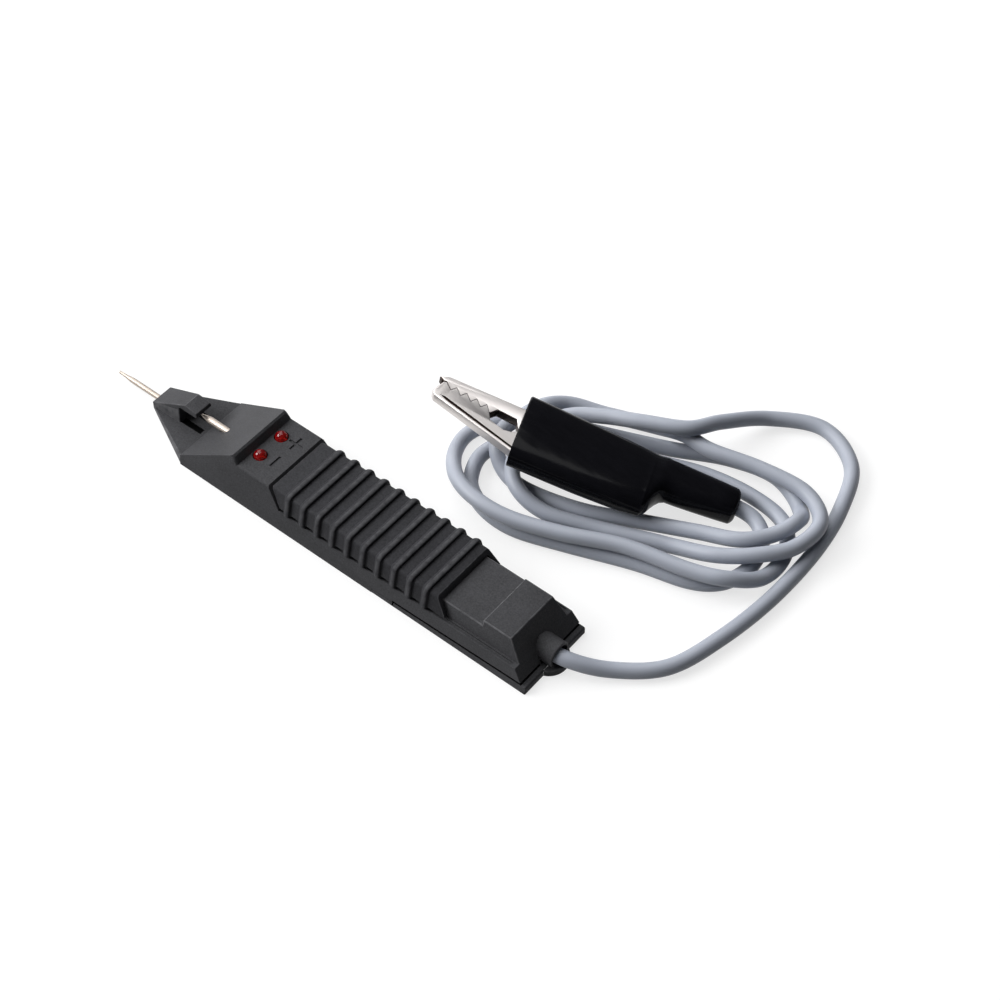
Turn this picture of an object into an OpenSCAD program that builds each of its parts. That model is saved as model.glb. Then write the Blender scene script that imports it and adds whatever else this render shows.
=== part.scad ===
// Two-LED polarity and voltage tester for vehicle wiring, in millimetres.
// A slim housing carries a steel probe at its nose and a hooked notch behind it. The ribbed thumb
// slide draws a piercing needle back from the notch against a spring. A grey lead lies in loose
// loops beside the housing and ends in a crocodile clip with a soft sleeve.
// Origin: on the ground plane, midway between the probe's tip and the lead's gland. The probe
// points along -X. Lengths that end in _x are measured from the front edge of the nose.

/* [Housing] */
// Width of the housing at its foot
body_w = 20; // [18:0.5:24]
// Length from the nose to the rear edge of the base
body_len = 110.7; // [108:0.1:120]
// Inward lean of the side walls, as a slope
side_draft = 0.137; // [0.08:0.001:0.18]
// Thickness of the moulded walls
wall = 1.4; // [1:0.1:1.8]
// Gap at the seams between moulded pieces
seam = 0.08; // [0.05:0.01:0.15]
// Height of the ledge that the slide runs on
ledge_z = 5.5; // [5.2:0.1:5.8]

/* [Nose] */
// Length of the flat shelf in front of the ramp
shelf_len = 15; // [14:0.5:16]
// Height of the shelf where the ramp starts
shelf_z = 2.65; // [2.5:0.05:3]
// Width of the nose at its front edge
nose_w = 5.7; // [5:0.1:7]
// Height of the nose's front edge
nose_z = 3.4; // [3:0.1:4]
// Length of the hook's upper edge
hook_len = 13.5; // [13:0.1:14]
// Height of the hook
hook_z = 8.8; // [8.6:0.1:9.4]
// Where the notch behind the hook starts
notch_x = 8.2; // [7.6:0.1:8.4]
// Underside of the hook's overhang
notch_z = 7; // [6.9:0.1:7.3]

/* [Lamp block] */
// Distance from the nose to the ridge of the ramp
ridge_x = 30.5; // [29.5:0.5:31]
// Height of the ridge
ridge_z = 12.8; // [12.2:0.1:13.4]
// Height of the lamp plate
plate_z = 10.8; // [10.6:0.1:11.2]
// Diameter of a lamp
led_d = 3; // [2.8:0.1:3.4]
// Distance from the nose to the lamps
led_x = 33.7; // [33.4:0.1:34.4]
// Distance between the lamps' axes
led_pitch = 6.6; // [6.2:0.1:7]

/* [Slide] */
// Distance from the nose to the slide's front end at the height of the ledge
slide_x = 44.4; // [44:0.1:45]
// Height of the slide's flat top
slide_z = 10.6; // [10.5:0.05:10.9]
// Wall thickness of the slide
slide_wall = 1.08; // [0.9:0.02:1.1]
// Running gap between the slide and the core
slide_gap = 0.22; // [0.15:0.01:0.3]
// Number of grip ribs
rib_count = 10; // [6:1:10]
// Height of a rib
rib_h = 0.7; // [0.4:0.05:0.9]
// Width of a rib at its foot
rib_w = 1.9; // [1.4:0.1:2.2]
// How far the slide travels back
travel = 9; // [7:0.5:9]

/* [Core] */
// Length of the block behind the slide
block_len = 13.3; // [12.2:0.1:13.7]
// Height of the core under the slide
core_z = 9.15; // [9:0.05:9.2]
// Width of the core at the ledge
core_w = 15.7; // [15:0.1:16]
// Height of the block behind the slide
block_z = 10.5; // [10.2:0.1:10.8]

/* [Probe and needle] */
// Diameter of the probe
probe_d = 1.3; // [1:0.1:1.6]
// How far the probe stands out of the nose
probe_out = 13.5; // [8:0.5:20]
// Height of the probe's axis
probe_z = 1.5; // [1.4:0.05:1.6]
// Diameter of the piercing needle
needle_d = 1.6; // [1.2:0.1:1.8]
// Height of the needle's axis
needle_z = 5.7; // [5.6:0.05:5.8]
// Distance from the nose to the needle's tip
needle_x = 12.7; // [12.6:0.1:13.2]

/* [Lead] */
// Diameter of the lead
cable_d = 3.4; // [3:0.1:3.6]
// Height of the lead's axis in the gland
gland_z = 3.8; // [3.7:0.1:4]
// Diameter of the gland
gland_d = 5.9; // [5.6:0.1:6.4]
// How far the gland stands out behind the base
gland_out = 1.8; // [1.5:0.1:4]

/* [Clip] */
// Turn of the clip seen from above
clip_yaw = 22; // [20:1:24]
// Rise of the clip towards its jaws
clip_rise = 10; // [9:0.5:11]
// Length of the sleeve
sleeve_len = 49; // [47:0.5:51]
// Thickness of the sleeve over the clip
sleeve_h = 8.6; // [8.4:0.1:9.6]
// Wall of the sleeve
sleeve_wall = 0.8; // [0.6:0.1:1]
// Width of the sleeve at its mouth
mouth_w = 18; // [17.6:0.1:19]
// Thickness of the sleeve's tail at its end
tail_d = 6.4; // [6:0.1:6.8]
// Outer width of the clip across its side plates
clip_t = 4.2; // [4:0.1:4.6]
// Sheet thickness of the clip
sheet = 0.6; // [0.4:0.05:0.7]
// Distance from the sleeve's tail to the clip's pivot
pivot_x = 44; // [43:0.5:45]
// Diameter of the clip's rivet
rivet_d = 2; // [1.6:0.1:2.2]
// Number of teeth on a jaw
tooth_count = 5; // [3:1:5]
// Distance from tooth to tooth
tooth_pitch = 2.45; // [2.3:0.05:2.6]

/* [Inside] */
// Thickness of the base plate
base_t = 1.2; // [1:0.1:1.3]
// Underside of the circuit board
board_z = 2.6; // [2.55:0.05:2.8]
// Thickness of the circuit board
board_t = 1; // [0.8:0.1:1.1]
// Length of the circuit board
board_len = 35; // [32:0.5:37]
// Diameter of the cover screws
screw_d = 2; // [1.8:0.1:2.2]
// Outer diameter of the return spring
spring_d = 3.2; // [2.8:0.1:3.2]
// Wire diameter of the return spring
spring_wire = 0.4; // [0.3:0.05:0.5]
// Turns of the return spring
spring_turns = 9; // [7:1:11]

/* [Hidden] */
$fn = 48;

plastic = [0.13, 0.13, 0.14];
slide_grey = [0.17, 0.17, 0.18];
steel = [0.75, 0.76, 0.78];
nickel = [0.86, 0.84, 0.82];
brass = [0.83, 0.68, 0.32];
lamp_red = [0.75, 0.06, 0.05];
cable_grey = [0.66, 0.69, 0.75];
sleeve_black = [0.06, 0.06, 0.07];

gland_x = body_len + gland_out;
mid_x = (gland_x - probe_out) / 2;
half_w = body_w / 2;

// Slope of the slanted ends, as length per height
end_lean = 0.6;
ledge_end_x = body_len - 3.2;
part_x = 70;
step_x = body_len - block_len;
// Length of the slide at the height of the ledge, and the distance from rib to rib
slide_len = step_x - slide_x - travel + 1.2;
rib_pitch = (slide_len - 3.6) / rib_count;
part_z0 = 1;
part_z1 = 2;
lamp_end_x = slide_x - 0.5;
slide_z0 = ledge_z + 0.45;
inner_half = half_w - 1.7;
front_half = half_w - 3.1;
core_half = core_w / 2 - 2.35;
core_lean = 0.22;
roof_z = core_z - wall;
lamp_roof_z = plate_z - 1.7;
low_roof_z = ledge_z - wall;
ramp_slope = (ridge_z - shelf_z) / (ridge_x - shelf_len);
bore_gap = 0.05;

// The slide's boss passes through a slot in the core's roof and carries the needle
boss_x = slide_x + 14;
boss_d = 4;
carrier_len = 14;
carrier_w = 6.4;
carrier_x = boss_x - 8;
carrier_z0 = needle_z - 1.1;
carrier_z1 = roof_z - 0.45;
slide_roof_z = core_z + slide_gap;
needle_end_x = carrier_x + 5.2;
spring_x0 = carrier_x + carrier_len;
spring_x1 = spring_x0 + 15;
spring_z = needle_z + 0.15;

screw_x = 25.5;
screw_y = 5.2;
screw_z = 7;
pad_z = 2.4;
clamp_x = step_x + 1.1;
rear_screw_x = (spring_x1 + clamp_x) / 2 - 0.55;
lead_run = clamp_x - rear_screw_x;
probe_end_x = 27;
clamp_len = 3.8;
corner_r = 0.5;
notch_half = nose_w / 2 - 0.3;
notch_len = 6;
tunnel_z = probe_z + probe_d / 2 + 0.2;
ring_x = gland_x - 0.8;
tab_r = 4.4;
tab_z = 1.8;
clamp_z = 2;
board_x = led_x - 2.7;
board_top = board_z + board_t;
board_end = board_x + board_len;
board_w = 15.2;

function side(z) = half_w - side_draft * z;
function core_side(z) = core_w / 2 - core_lean * (z - ledge_z);
function part_at(x) = part_z0 + (part_z1 - part_z0) * (x - part_x) / (body_len - part_x);
function arc(cx, cy, r, a0, a1, n = 5) = [for (i = [0 : n]) let (a = a0 + (a1 - a0) * i / n)
    [cx + r * cos(a), cy + r * sin(a)]];

// Extrudes an outline of [x, z] points across the width
module across(w) rotate([90, 0, 0]) linear_extrude(w, center = true) children();
// Extrudes an outline of [y, z] points from x0 to x1
module along(x0, x1) translate([x0, 0, 0]) rotate([90, 0, 90]) linear_extrude(x1 - x0) children();
module at_nose() translate([-mid_x, 0, 0]) children();
module rod_x(x0, x1, d, z, n = 48) translate([x0, 0, z]) rotate([0, 90, 0])
    cylinder(h = x1 - x0, d = d, $fn = n);
// The lead's way through the clamp and the gland, wider at the mouth
module lead_bore() {
    rod_x(clamp_x - 8, gland_x + 8, cable_d + 2 * bore_gap, gland_z);
    rod_x(ring_x - 1.5, gland_x + 8, cable_d + 1.4, gland_z);
}

// One closed tube along a list of points, with n sides
function unit(v) = v / norm(v);
function tangent(p, i) = unit(p[min(i + 1, len(p) - 1)] - p[max(i - 1, 0)]);
function ring(c, t, r, n) = let (
    a = unit(cross(abs(t.z) > 0.9 ? [1, 0, 0] : [0, 0, 1], t)),
    b = cross(t, a))
    [for (k = [0 : n - 1]) c + r * (cos(360 * (k + 0.5) / n) * a + sin(360 * (k + 0.5) / n) * b)];
module tube(points, d, n) {
    m = len(points);
    rings = [for (i = [0 : m - 1]) each ring(points[i], tangent(points, i), d / 2, n)];
    sides = [for (i = [0 : m - 2], k = [0 : n - 1]) let (j = (k + 1) % n)
        [i * n + k, (i + 1) * n + k, (i + 1) * n + j, i * n + j]];
    ends = [[for (k = [0 : n - 1]) k], [for (k = [n - 1 : -1 : 0]) (m - 1) * n + k]];
    polyhedron(rings, concat(sides, ends), convexity = 8);
}

// Route of the lead, from inside the gland to inside the clip's sleeve
lay = 1.75;
over = 5.3;
lead_exit = gland_x - mid_x;
cable_route = [
    [lead_exit - 12.8, 0, gland_z], [lead_exit - 6.5, 0, gland_z], [lead_exit + 0.5, 0, gland_z],
    [71.5, 4.6, 2], [80, 12.5, lay], [84.1, 25, lay], [86.4, 40, lay], [86.5, 56, lay],
    [84.3, 69, lay], [79.5, 80, lay], [69, 85, lay], [58.4, 79.2, 2.6], [52.8, 68.9, 6.6],
    [49.3, 61, 9.1], [40.5, 56.6, 8.7], [32.5, 54, 7], [25.6, 50.4, 5.6], [21.9, 43, 5.4],
    [22.7, 35.2, 5.5], [28, 28, 5.5], [36.5, 27.2, 3.2], [47.5, 31.8, lay], [61.8, 37.6, lay],
    [72.2, 40, 4.4], [79.4, 44.7, 5.7], [84.1, 51.3, 5.6], [84.4, 60, over], [77.5, 64.8, over],
    [66.5, 64.3, over], [55, 61.6, 5.5], [47.9, 62, 5], [39.5, 61.7, 2.2], [29.3, 58.3, lay],
    [22.4, 54.6, 3.4], [19.2, 49.2, 5.4], [17.3, 42.9, 5.4], [16.7, 38, 5.5], [18.5, 33.6, 4.9],
    [23, 31.1, 2.2], [30, 30.6, lay], [41.8, 33.5, lay], [53.9, 39.2, lay], [65, 43.3, 3.2],
    [73.7, 45.6, over], [78.3, 50.6, 5.4], [80.5, 56.9, 5.4], [78, 62.7, lay], [69, 67, lay],
    [58, 64.9, lay], [46.5, 59.2, lay], [34.5, 54.2, lay], [23.6, 49.8, lay], [14, 43.9, lay],
    [9.7, 35.9, lay], [10.8, 29, 2.1], [16.6, 22.3, 4.7], [23.9, 19.6, 5.4], [32.8, 20, over],
    [44, 23.7, over], [56.4, 29.3, over], [70.1, 32.5, 5.4], [77.7, 35.5, 5.6], [82.3, 42.1, 2.9],
    [82.2, 50.5, lay], [77.5, 57.4, lay], [68.6, 59.4, lay], [56.1, 57.9, lay], [40.8, 52, lay],
    [26.5, 47, lay], [18.3, 39.4, lay], [15.6, 32.2, lay], [18, 25.5, lay], [22, 22.2, lay],
    [27.8, 20.4, lay], [34.8, 20.7, lay], [45.2, 24.2, lay], [59.1, 29.4, lay], [70.3, 32.5, lay],
    [75.8, 36.2, lay], [78.2, 41.6, lay], [77.9, 47.2, lay], [75.7, 51.7, 2.1], [72.2, 53.9, 2.7],
    [67.8, 53.7, 3.4], [64.1, 52.2, 4.1], [57.8, 49.7, over]
];

// The clip's own frame: x runs from the sleeve's tail towards the jaws, y towards the moving jaw
tail_at = [67.8, 53.7, 3.4];
module at_clip() translate(tail_at) rotate([0, -clip_rise, clip_yaw + 180]) children();

// One closed skin over a row of sections with the same number of points
module skin(rows) {
    m = len(rows);
    n = len(rows[0]);
    sides = [for (i = [0 : m - 2], k = [0 : n - 1]) let (j = (k + 1) % n)
        [i * n + k, (i + 1) * n + k, (i + 1) * n + j, i * n + j]];
    ends = [[for (k = [0 : n - 1]) k], [for (k = [n - 1 : -1 : 0]) (m - 1) * n + k]];
    polyhedron([for (r = rows) each r], concat(sides, ends), convexity = 6);
}

// Upper housing: nose with hook, ramp, lamp block, and the core that the slide runs on
module body_section(z0, z1) polygon([[-side(z0), z0], [side(z0), z0], [side(z1), z1], [-side(z1), z1]]);

module core_section(z0, z1) polygon([[-core_side(z0), z0], [core_side(z0), z0],
    [core_side(z1), z1], [-core_side(z1), z1]]);

module nose_plan(grow) polygon([[0, -nose_w / 2 - grow], [shelf_len + 0.1, -half_w - grow],
    [shelf_len + 0.1, half_w + grow], [0, nose_w / 2 + grow]]);

module base_nose_plan(grow) polygon([[0.6 - grow, -2 - grow], [shelf_len, -inner_half + seam - grow],
    [17.5, -inner_half + seam - grow], [17.5, inner_half - seam + grow],
    [shelf_len, inner_half - seam + grow], [0.6 - grow, 2 + grow]]);

module hook_shape() intersection() {
    across(10) polygon([[0, probe_z], [0, nose_z], [hook_len * 0.75, hook_z], [hook_len, hook_z - 0.5],
        [hook_len, notch_z], [notch_x + 0.3, notch_z], [notch_x, notch_z - 0.3], [notch_x, probe_z]]);
    along(-1, 20) polygon([[-nose_w / 2, 0], [nose_w / 2, 0], [nose_w / 2, 3],
        [nose_w / 2 - 0.7, 9], [0.7 - nose_w / 2, 9], [-nose_w / 2, 3]]);
}

module housing_outside() {
    intersection() {
        across(24) polygon([[shelf_len, 0], [part_x, 0], [part_x, part_z0 + seam],
            [ledge_end_x + 2, part_at(ledge_end_x + 2) + seam], [ledge_end_x, ledge_z],
            [lamp_end_x, ledge_z], [lamp_end_x - end_lean * (plate_z - ledge_z), plate_z],
            [ridge_x + 1.4, plate_z], [ridge_x + 1, ridge_z - 1.2], [ridge_x + 0.5, ridge_z - 0.3],
            [ridge_x, ridge_z], [shelf_len, shelf_z]]);
        along(0, 120) body_section(-1, 14);
    }
    intersection() {
        across(24) polygon([[lamp_end_x - 2, ledge_z - 1], [ledge_end_x + 0.6, ledge_z - 1],
            [ledge_end_x - end_lean * (block_z - ledge_z), block_z], [step_x, block_z],
            [step_x, core_z], [lamp_end_x - 2, core_z]]);
        along(0, 120) core_section(ledge_z - 1, block_z);
    }
    intersection() {
        across(24) polygon([[0, probe_z], [shelf_len + 0.1, 0], [shelf_len + 0.1, shelf_z], [0, 2.1]]);
        linear_extrude(20) nose_plan(0);
        along(-1, 20) body_section(-1, 14);
    }
    hook_shape();
    rod_x(ledge_end_x - 3, ring_x, gland_d, gland_z);
}

module housing_rooms() {
    across(2 * inner_half) polygon([[17, -1], [17, 2.3], [19.75, low_roof_z],
        [ledge_end_x - 1.2, low_roof_z], [ledge_end_x - 1.2, -1]]);
    across(2 * front_half) polygon([[19.75, 1], [19.75, low_roof_z],
        [ridge_x - 1.2, shelf_z + ramp_slope * (ridge_x - 1.2 - shelf_len) - 1.75],
        [ridge_x + 0.1, lamp_roof_z], [lamp_end_x - 4.2, lamp_roof_z],
        [lamp_end_x - 2.1, ledge_z], [lamp_end_x - 2.1, 1]]);
    across(2 * core_half) polygon([[40, 1], [40, roof_z], [step_x + 1.2, roof_z],
        [step_x + 1.2, block_z - 1.5], [ledge_end_x - 3.9, block_z - 1.5],
        [ledge_end_x - 1.2, ledge_z - 1], [ledge_end_x - 1.2, 1]]);
    translate([0, 0, -1]) linear_extrude(probe_z + 1) base_nose_plan(seam);
}

module housing_posts() {
    for (s = [-1, 1]) translate([screw_x, s * screw_y, pad_z + seam]) cylinder(h = 9, d = 5);
    translate([rear_screw_x, 0, pad_z + seam]) cylinder(h = 6, d = 5);
    translate([spring_x1, -core_half - 0.1, 3.2]) cube([1.5, 2 * core_half + 0.2, roof_z - 3]);
    rod_x(spring_x1 - 2, spring_x1, spring_d - 2 * spring_wire - 0.4, spring_z);
}

module upper_housing() color(plastic) at_nose() difference() {
    union() {
        difference() {
            housing_outside();
            housing_rooms();
        }
        intersection() {
            housing_outside();
            housing_posts();
        }
    }
    // notch behind the hook, with the probe's tunnel left standing in it
    translate([notch_x, -notch_half, tunnel_z]) cube([notch_len, 2 * notch_half, 3]);
    for (m = [0, 1]) mirror([0, m, 0]) translate([notch_x, 1, 0]) cube([notch_len, notch_half - 1, 5]);
    rod_x(-1, probe_end_x + 1, probe_d + 2 * bore_gap, probe_z);
    rod_x(14, 32, needle_d + 3 * bore_gap, needle_z);
    for (s = [-1, 1]) {
        translate([led_x, s * led_pitch / 2, 8]) cylinder(h = 6, d = led_d + 0.3);
        translate([screw_x, s * screw_y, 1]) cylinder(h = screw_z - 0.8, d = screw_d + 2 * bore_gap);
        // shallow groove along the ledge
        translate([lamp_end_x, s * (core_w / 2 + 0.7) - 0.4, ledge_z - 0.4])
            cube([ledge_end_x - lamp_end_x - 1.2, 0.8, 1]);
    }
    translate([rear_screw_x, 0, 1]) cylinder(h = screw_z - 0.8, d = screw_d + 2 * bore_gap);
    // polarity signs beside the lamps
    translate([led_x + 3.4, -led_pitch / 2 - 0.9, plate_z - 0.3]) cube([0.6, 3.2, 1]);
    translate([led_x + 3.5, led_pitch / 2 - 1.5, plate_z - 0.3]) cube([0.6, 3.8, 1]);
    translate([led_x + 2, led_pitch / 2 + 0.1, plate_z - 0.3]) cube([3.6, 0.6, 1]);
    // slot for the slide's boss
    for (x = [boss_x, boss_x + travel]) translate([x, 0, roof_z - 1]) cylinder(h = 3, d = boss_d + 0.6);
    translate([boss_x, -boss_d / 2 - 0.3, roof_z - 1]) cube([travel, boss_d + 0.6, 3]);
    // the lower half of the gland belongs to the base
    translate([ledge_end_x - 4, -gland_d / 2 - seam, -1])
        cube([20, gland_d + 2 * seam, gland_z + 1 + seam / 2]);
    lead_bore();
}

// Base cover: plate inside the walls at the front, full width at the rear, with the gland's lower half
module base_outside() {
    intersection() {
        across(24) polygon([[0.6, 0.5], [2.6, 0], [17.5, 0], [17.5, probe_z - seam], [0.6, probe_z - seam]]);
        linear_extrude(4) base_nose_plan(0);
    }
    translate([17, -inner_half + seam, 0]) cube([part_x - 16.5, 2 * (inner_half - seam), base_t]);
    intersection() {
        across(24) polygon([[part_x + seam, 0], [body_len, 0], [body_len, part_z1 - 0.3],
            [body_len - 0.3, part_z1], [part_x + seam, part_z0]]);
        along(0, 120) body_section(-1, 14);
        linear_extrude(4) polygon(concat([[60, -12], [60, 12]],
            arc(body_len - corner_r, half_w - corner_r, corner_r, 90, 0),
            arc(body_len - corner_r, corner_r - half_w, corner_r, 0, -90)));
    }
    for (s = [-1, 1]) translate([screw_x, s * screw_y, 0]) cylinder(h = pad_z, d = 5.4);
    translate([rear_screw_x, 0, 0]) cylinder(h = pad_z, d = 5.4);
    for (x = [board_x + 3, board_x + board_len - 3], s = [-1, 1])
        translate([x, s * 6.2, 0]) cylinder(h = board_z, d = 2);
    translate([clamp_x - 1, -5.2, 0]) cube([clamp_len + 2, 10.4, clamp_z]);
    intersection() {
        union() {
            translate([ledge_end_x - 2.4, -gland_d / 2, 0]) cube([4, gland_d, gland_z]);
            rod_x(ledge_end_x - 2.4, ring_x, gland_d, gland_z);
        }
        translate([90, -10, 0]) cube([30, 20, gland_z - seam / 2]);
    }
    // rounded tab under the lead
    translate([gland_x + 0.8 - tab_r, 0, 0]) cylinder(h = tab_z, r = tab_r);
}

module base_cover() color(plastic) at_nose() difference() {
    base_outside();
    rod_x(-1, probe_end_x + 1, probe_d + 2 * bore_gap, probe_z);
    for (p = [[screw_x, screw_y], [screw_x, -screw_y], [rear_screw_x, 0]]) translate([p.x, p.y, -1]) {
        cylinder(h = 4, d = screw_d + 0.3);
        cylinder(h = 2.4, d = 2 * screw_d + 0.2);
    }
    lead_bore();
}

// Probe, its contact and the needle: turned steel pins with ground points
module pin(x0, x1, d, z, point, blunt) translate([x0, 0, z]) rotate([0, 90, 0]) rotate_extrude()
    polygon([[0, 0], [blunt, 0], [blunt + 0.1, 0.1], [d / 2, point], [d / 2, x1 - x0 - 0.2],
        [d / 2 - 0.2, x1 - x0], [0, x1 - x0]]);

module probe_pin() color(steel) at_nose() pin(-probe_out, probe_end_x, probe_d, probe_z, 4, 0.1);

module probe_contact() color(brass) at_nose() {
    translate([probe_end_x - 4, -1.3, board_z - 0.3]) cube([14, 2.6, 0.3]);
    for (s = [-1, 1]) translate([probe_end_x - 4, s * (probe_d / 2 + 0.35) - 0.25, base_t + seam])
        cube([3, 0.5, board_z - 0.2 - base_t - seam]);
}

module piercing_needle() color(steel) at_nose() pin(needle_x, needle_end_x, needle_d, needle_z, 3.2, 0.05);

// Electronics
module circuit_board() color([0.1, 0.35, 0.2]) at_nose() difference() {
    translate([board_x, -board_w / 2, board_z]) cube([board_len, board_w, board_t]);
    for (s = [-1, 1]) translate([board_x + board_len, s * board_w / 2, 0]) cylinder(h = 9, d = 5);
}

module lamp(s) color(lamp_red) at_nose() translate([led_x, s * led_pitch / 2, 0]) {
    rotate_extrude() polygon(concat([[0, lamp_roof_z - 1], [led_d / 2 + 0.4, lamp_roof_z - 1],
        [led_d / 2 + 0.4, lamp_roof_z - 0.05], [led_d / 2, lamp_roof_z - 0.05]],
        arc(0, plate_z - 0.3, led_d / 2, 0, 90, 8)));
    for (t = [-0.8, 0.8]) translate([t, 0, board_top])
        cylinder(h = lamp_roof_z - 0.9 - board_top, d = 0.5, $fn = 12);
}

module led_plus() lamp(1);

module led_minus() lamp(-1);

module axial(x, y, len, d, tone) at_nose() translate([x, y, 0]) {
    color(tone) rod_x(-len / 2, len / 2, d, board_top + d / 2 + 0.1);
    color(steel) rod_x(-len / 2 - 1, len / 2 + 1, 0.5, board_top + d / 2 + 0.1, 12);
    color(steel) for (s = [-1, 1]) translate([s * (len / 2 + 0.9), 0, board_top])
        cylinder(h = d / 2 + 0.1, d = 0.5, $fn = 12);
}

module resistor_left() axial(board_x + board_len / 2 + 0.5, -4.4, 4.6, 1.8, [0.82, 0.7, 0.5]);

module resistor_right() axial(board_x + board_len / 2 + 0.5, 4.4, 4.6, 1.8, [0.82, 0.7, 0.5]);

module diode() axial(board_x + 0.8 * board_len, -4.4, 3.4, 1.6, [0.1, 0.1, 0.1]);

wiper_x = board_x + 10;
wiper_top = needle_z - needle_d / 2;
module needle_wiper() color(brass) at_nose() across(1.8) polygon([[wiper_x, board_top],
    [wiper_x + 3, board_top], [wiper_x + 6.4, wiper_top - 0.3], [wiper_x + 7.6, wiper_top - 0.4],
    [wiper_x + 7.6, wiper_top - 0.18], [wiper_x + 6.4, wiper_top - 0.02],
    [wiper_x + 2.9, board_top + 0.25], [wiper_x, board_top + 0.25]]);

module return_spring() color(steel) at_nose() tube([for (i = [0 : 12 * spring_turns])
    let (a = 30 * i, r = (spring_d - spring_wire) / 2, run = spring_x1 - spring_x0 - spring_wire - 0.04)
    [spring_x0 + spring_wire / 2 + 0.02 + run * i / (12 * spring_turns),
        r * cos(a), spring_z + r * sin(a)]], spring_wire, 6);

// Screws, with a cross recess in the head
module screw(z0, z1, d, head_h) difference() {
    union() {
        translate([0, 0, z0]) cylinder(h = head_h, d = 2 * d - 0.2);
        translate([0, 0, z0]) cylinder(h = z1 - z0, d = d);
    }
    for (a = [0, 90]) rotate([0, 0, a]) translate([-0.65 * d, -0.2, z0 - 1]) cube([1.3 * d, 0.4, 1.5]);
}

module cover_screw(x, y) color(steel) at_nose() translate([x, y, 0])
    screw(0.3, screw_z - 1, screw_d, 1.1);

module cover_screw_left() cover_screw(screw_x, -screw_y);

module cover_screw_right() cover_screw(screw_x, screw_y);

module cover_screw_rear() cover_screw(rear_screw_x, 0);

// Lead
module cable_clamp() color(plastic) at_nose() difference() {
    translate([clamp_x, -4.6, clamp_z]) cube([clamp_len, 9.2, 4.4]);
    lead_bore();
}

module inner_lead() color([0.08, 0.08, 0.09]) at_nose() tube([[clamp_x + 1.1, 0, gland_z],
    [rear_screw_x + 0.8 * lead_run, 0.4, gland_z], [rear_screw_x + 0.5 * lead_run, 3, 3.2],
    [rear_screw_x + 0.16 * lead_run, 4.3, 2.5], [spring_x1 - 1.4, 4.4, 2.4], [board_end + 5, 4.4, 3],
    [board_end + 2, 4.4, board_top + 0.65], [board_end - 2.5, 4.4, board_top + 0.65]], 1.2, 8);

module cable() color(cable_grey) tube(cable_route, cable_d, 8);

// Thumb slide with its grip ribs, carrier and screw
function slide_side(z) = core_side(z) + slide_gap + slide_wall;
function slide_half(h) = [[slide_side(slide_z0) + 0.9 * h, slide_z0],
    [slide_side(slide_z - 0.85) + 0.95 * h, slide_z - 0.85],
    [slide_side(slide_z - 0.35) + 0.8 * h - 0.1, slide_z - 0.35 + 0.5 * h],
    [slide_side(slide_z) + 0.4 * h - 0.4, slide_z + h]];
function slide_ring(x, h) = let (p = slide_half(h)) concat([for (q = p) [x, q.x, q.y]],
    [for (i = [3 : -1 : 0]) [x, -p[i].x, p[i].y]]);

module slide_outside() {
    intersection() {
        across(24) polygon([[slide_x - end_lean * (slide_z0 - ledge_z), slide_z0],
            [slide_x + slide_len - end_lean * (slide_z0 - ledge_z), slide_z0],
            [slide_x + slide_len - end_lean * (slide_z - ledge_z), slide_z],
            [slide_x - end_lean * (slide_z - ledge_z), slide_z]]);
        skin([slide_ring(30, 0), slide_ring(100, 0)]);
    }
    for (i = [0 : rib_count - 1]) let (x = slide_x + 2.6 + rib_pitch * i)
        skin([slide_ring(x - rib_w, -0.02), slide_ring(x - rib_w + 0.5, 0.62 * rib_h),
            slide_ring(x - rib_w + 0.95, 0.93 * rib_h), slide_ring(x - 0.45, rib_h),
            slide_ring(x - 0.12, 0.85 * rib_h), slide_ring(x, -0.02)]);
}

module thumb_slide() color(slide_grey) at_nose() difference() {
    union() {
        difference() {
            slide_outside();
            along(30, 100) polygon([[-core_side(5) - slide_gap, 5], [core_side(5) + slide_gap, 5],
                [core_side(slide_roof_z) + slide_gap, slide_roof_z],
                [-core_side(slide_roof_z) - slide_gap, slide_roof_z]]);
        }
        translate([boss_x, 0, carrier_z1]) cylinder(h = slide_z - 0.3 - carrier_z1, d = boss_d);
    }
    translate([boss_x, 0, carrier_z1 - 1]) cylinder(h = 3.6, d = 1.6 + 2 * bore_gap);
}

module needle_carrier() color([0.85, 0.85, 0.8]) at_nose() difference() {
    union() {
        translate([carrier_x, -carrier_w / 2, carrier_z0])
            cube([carrier_len, carrier_w, carrier_z1 - carrier_z0]);
        rod_x(spring_x0 - 1, spring_x0 + 2, spring_d - 2 * spring_wire - 0.4, spring_z);
    }
    rod_x(carrier_x - 1, needle_end_x + 0.1, needle_d + 2 * bore_gap, needle_z);
    translate([boss_x, 0, 0]) cylinder(h = 12, d = 1.9);
    translate([boss_x, 0, 0]) cylinder(h = carrier_z0 + 1, d = 3.4);
}

module carrier_screw() color(steel) at_nose() translate([boss_x, 0, 0])
    screw(carrier_z0 + 0.1, carrier_z1 + 2.4, 1.6, 0.9);

// Crocodile clip, drawn flat as [length from the tail, side] and folded from sheet
clip_off = 0.6;
clip_half = clip_t / 2;
inner_t = clip_t - 2 * sheet - 0.2;
module in_clip() at_clip() translate([0, clip_off, 0]) mirror([0, 1, 0]) children();
function teeth(gap) = [for (i = [0 : tooth_count - 1]) each concat(
    [[57.3 + tooth_pitch * i, 2.45 + 0.2 * tooth_pitch * i + gap]],
    i < tooth_count - 1 ? [[58.35 + tooth_pitch * i, 1.25 + 0.2 * tooth_pitch * i + gap]] : [])];

module band(w) translate([0, 0, -w / 2]) linear_extrude(w) children();
module sides(w, t) for (z = [-w / 2, w / 2 - t]) translate([0, 0, z]) linear_extrude(t) children();

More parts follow.
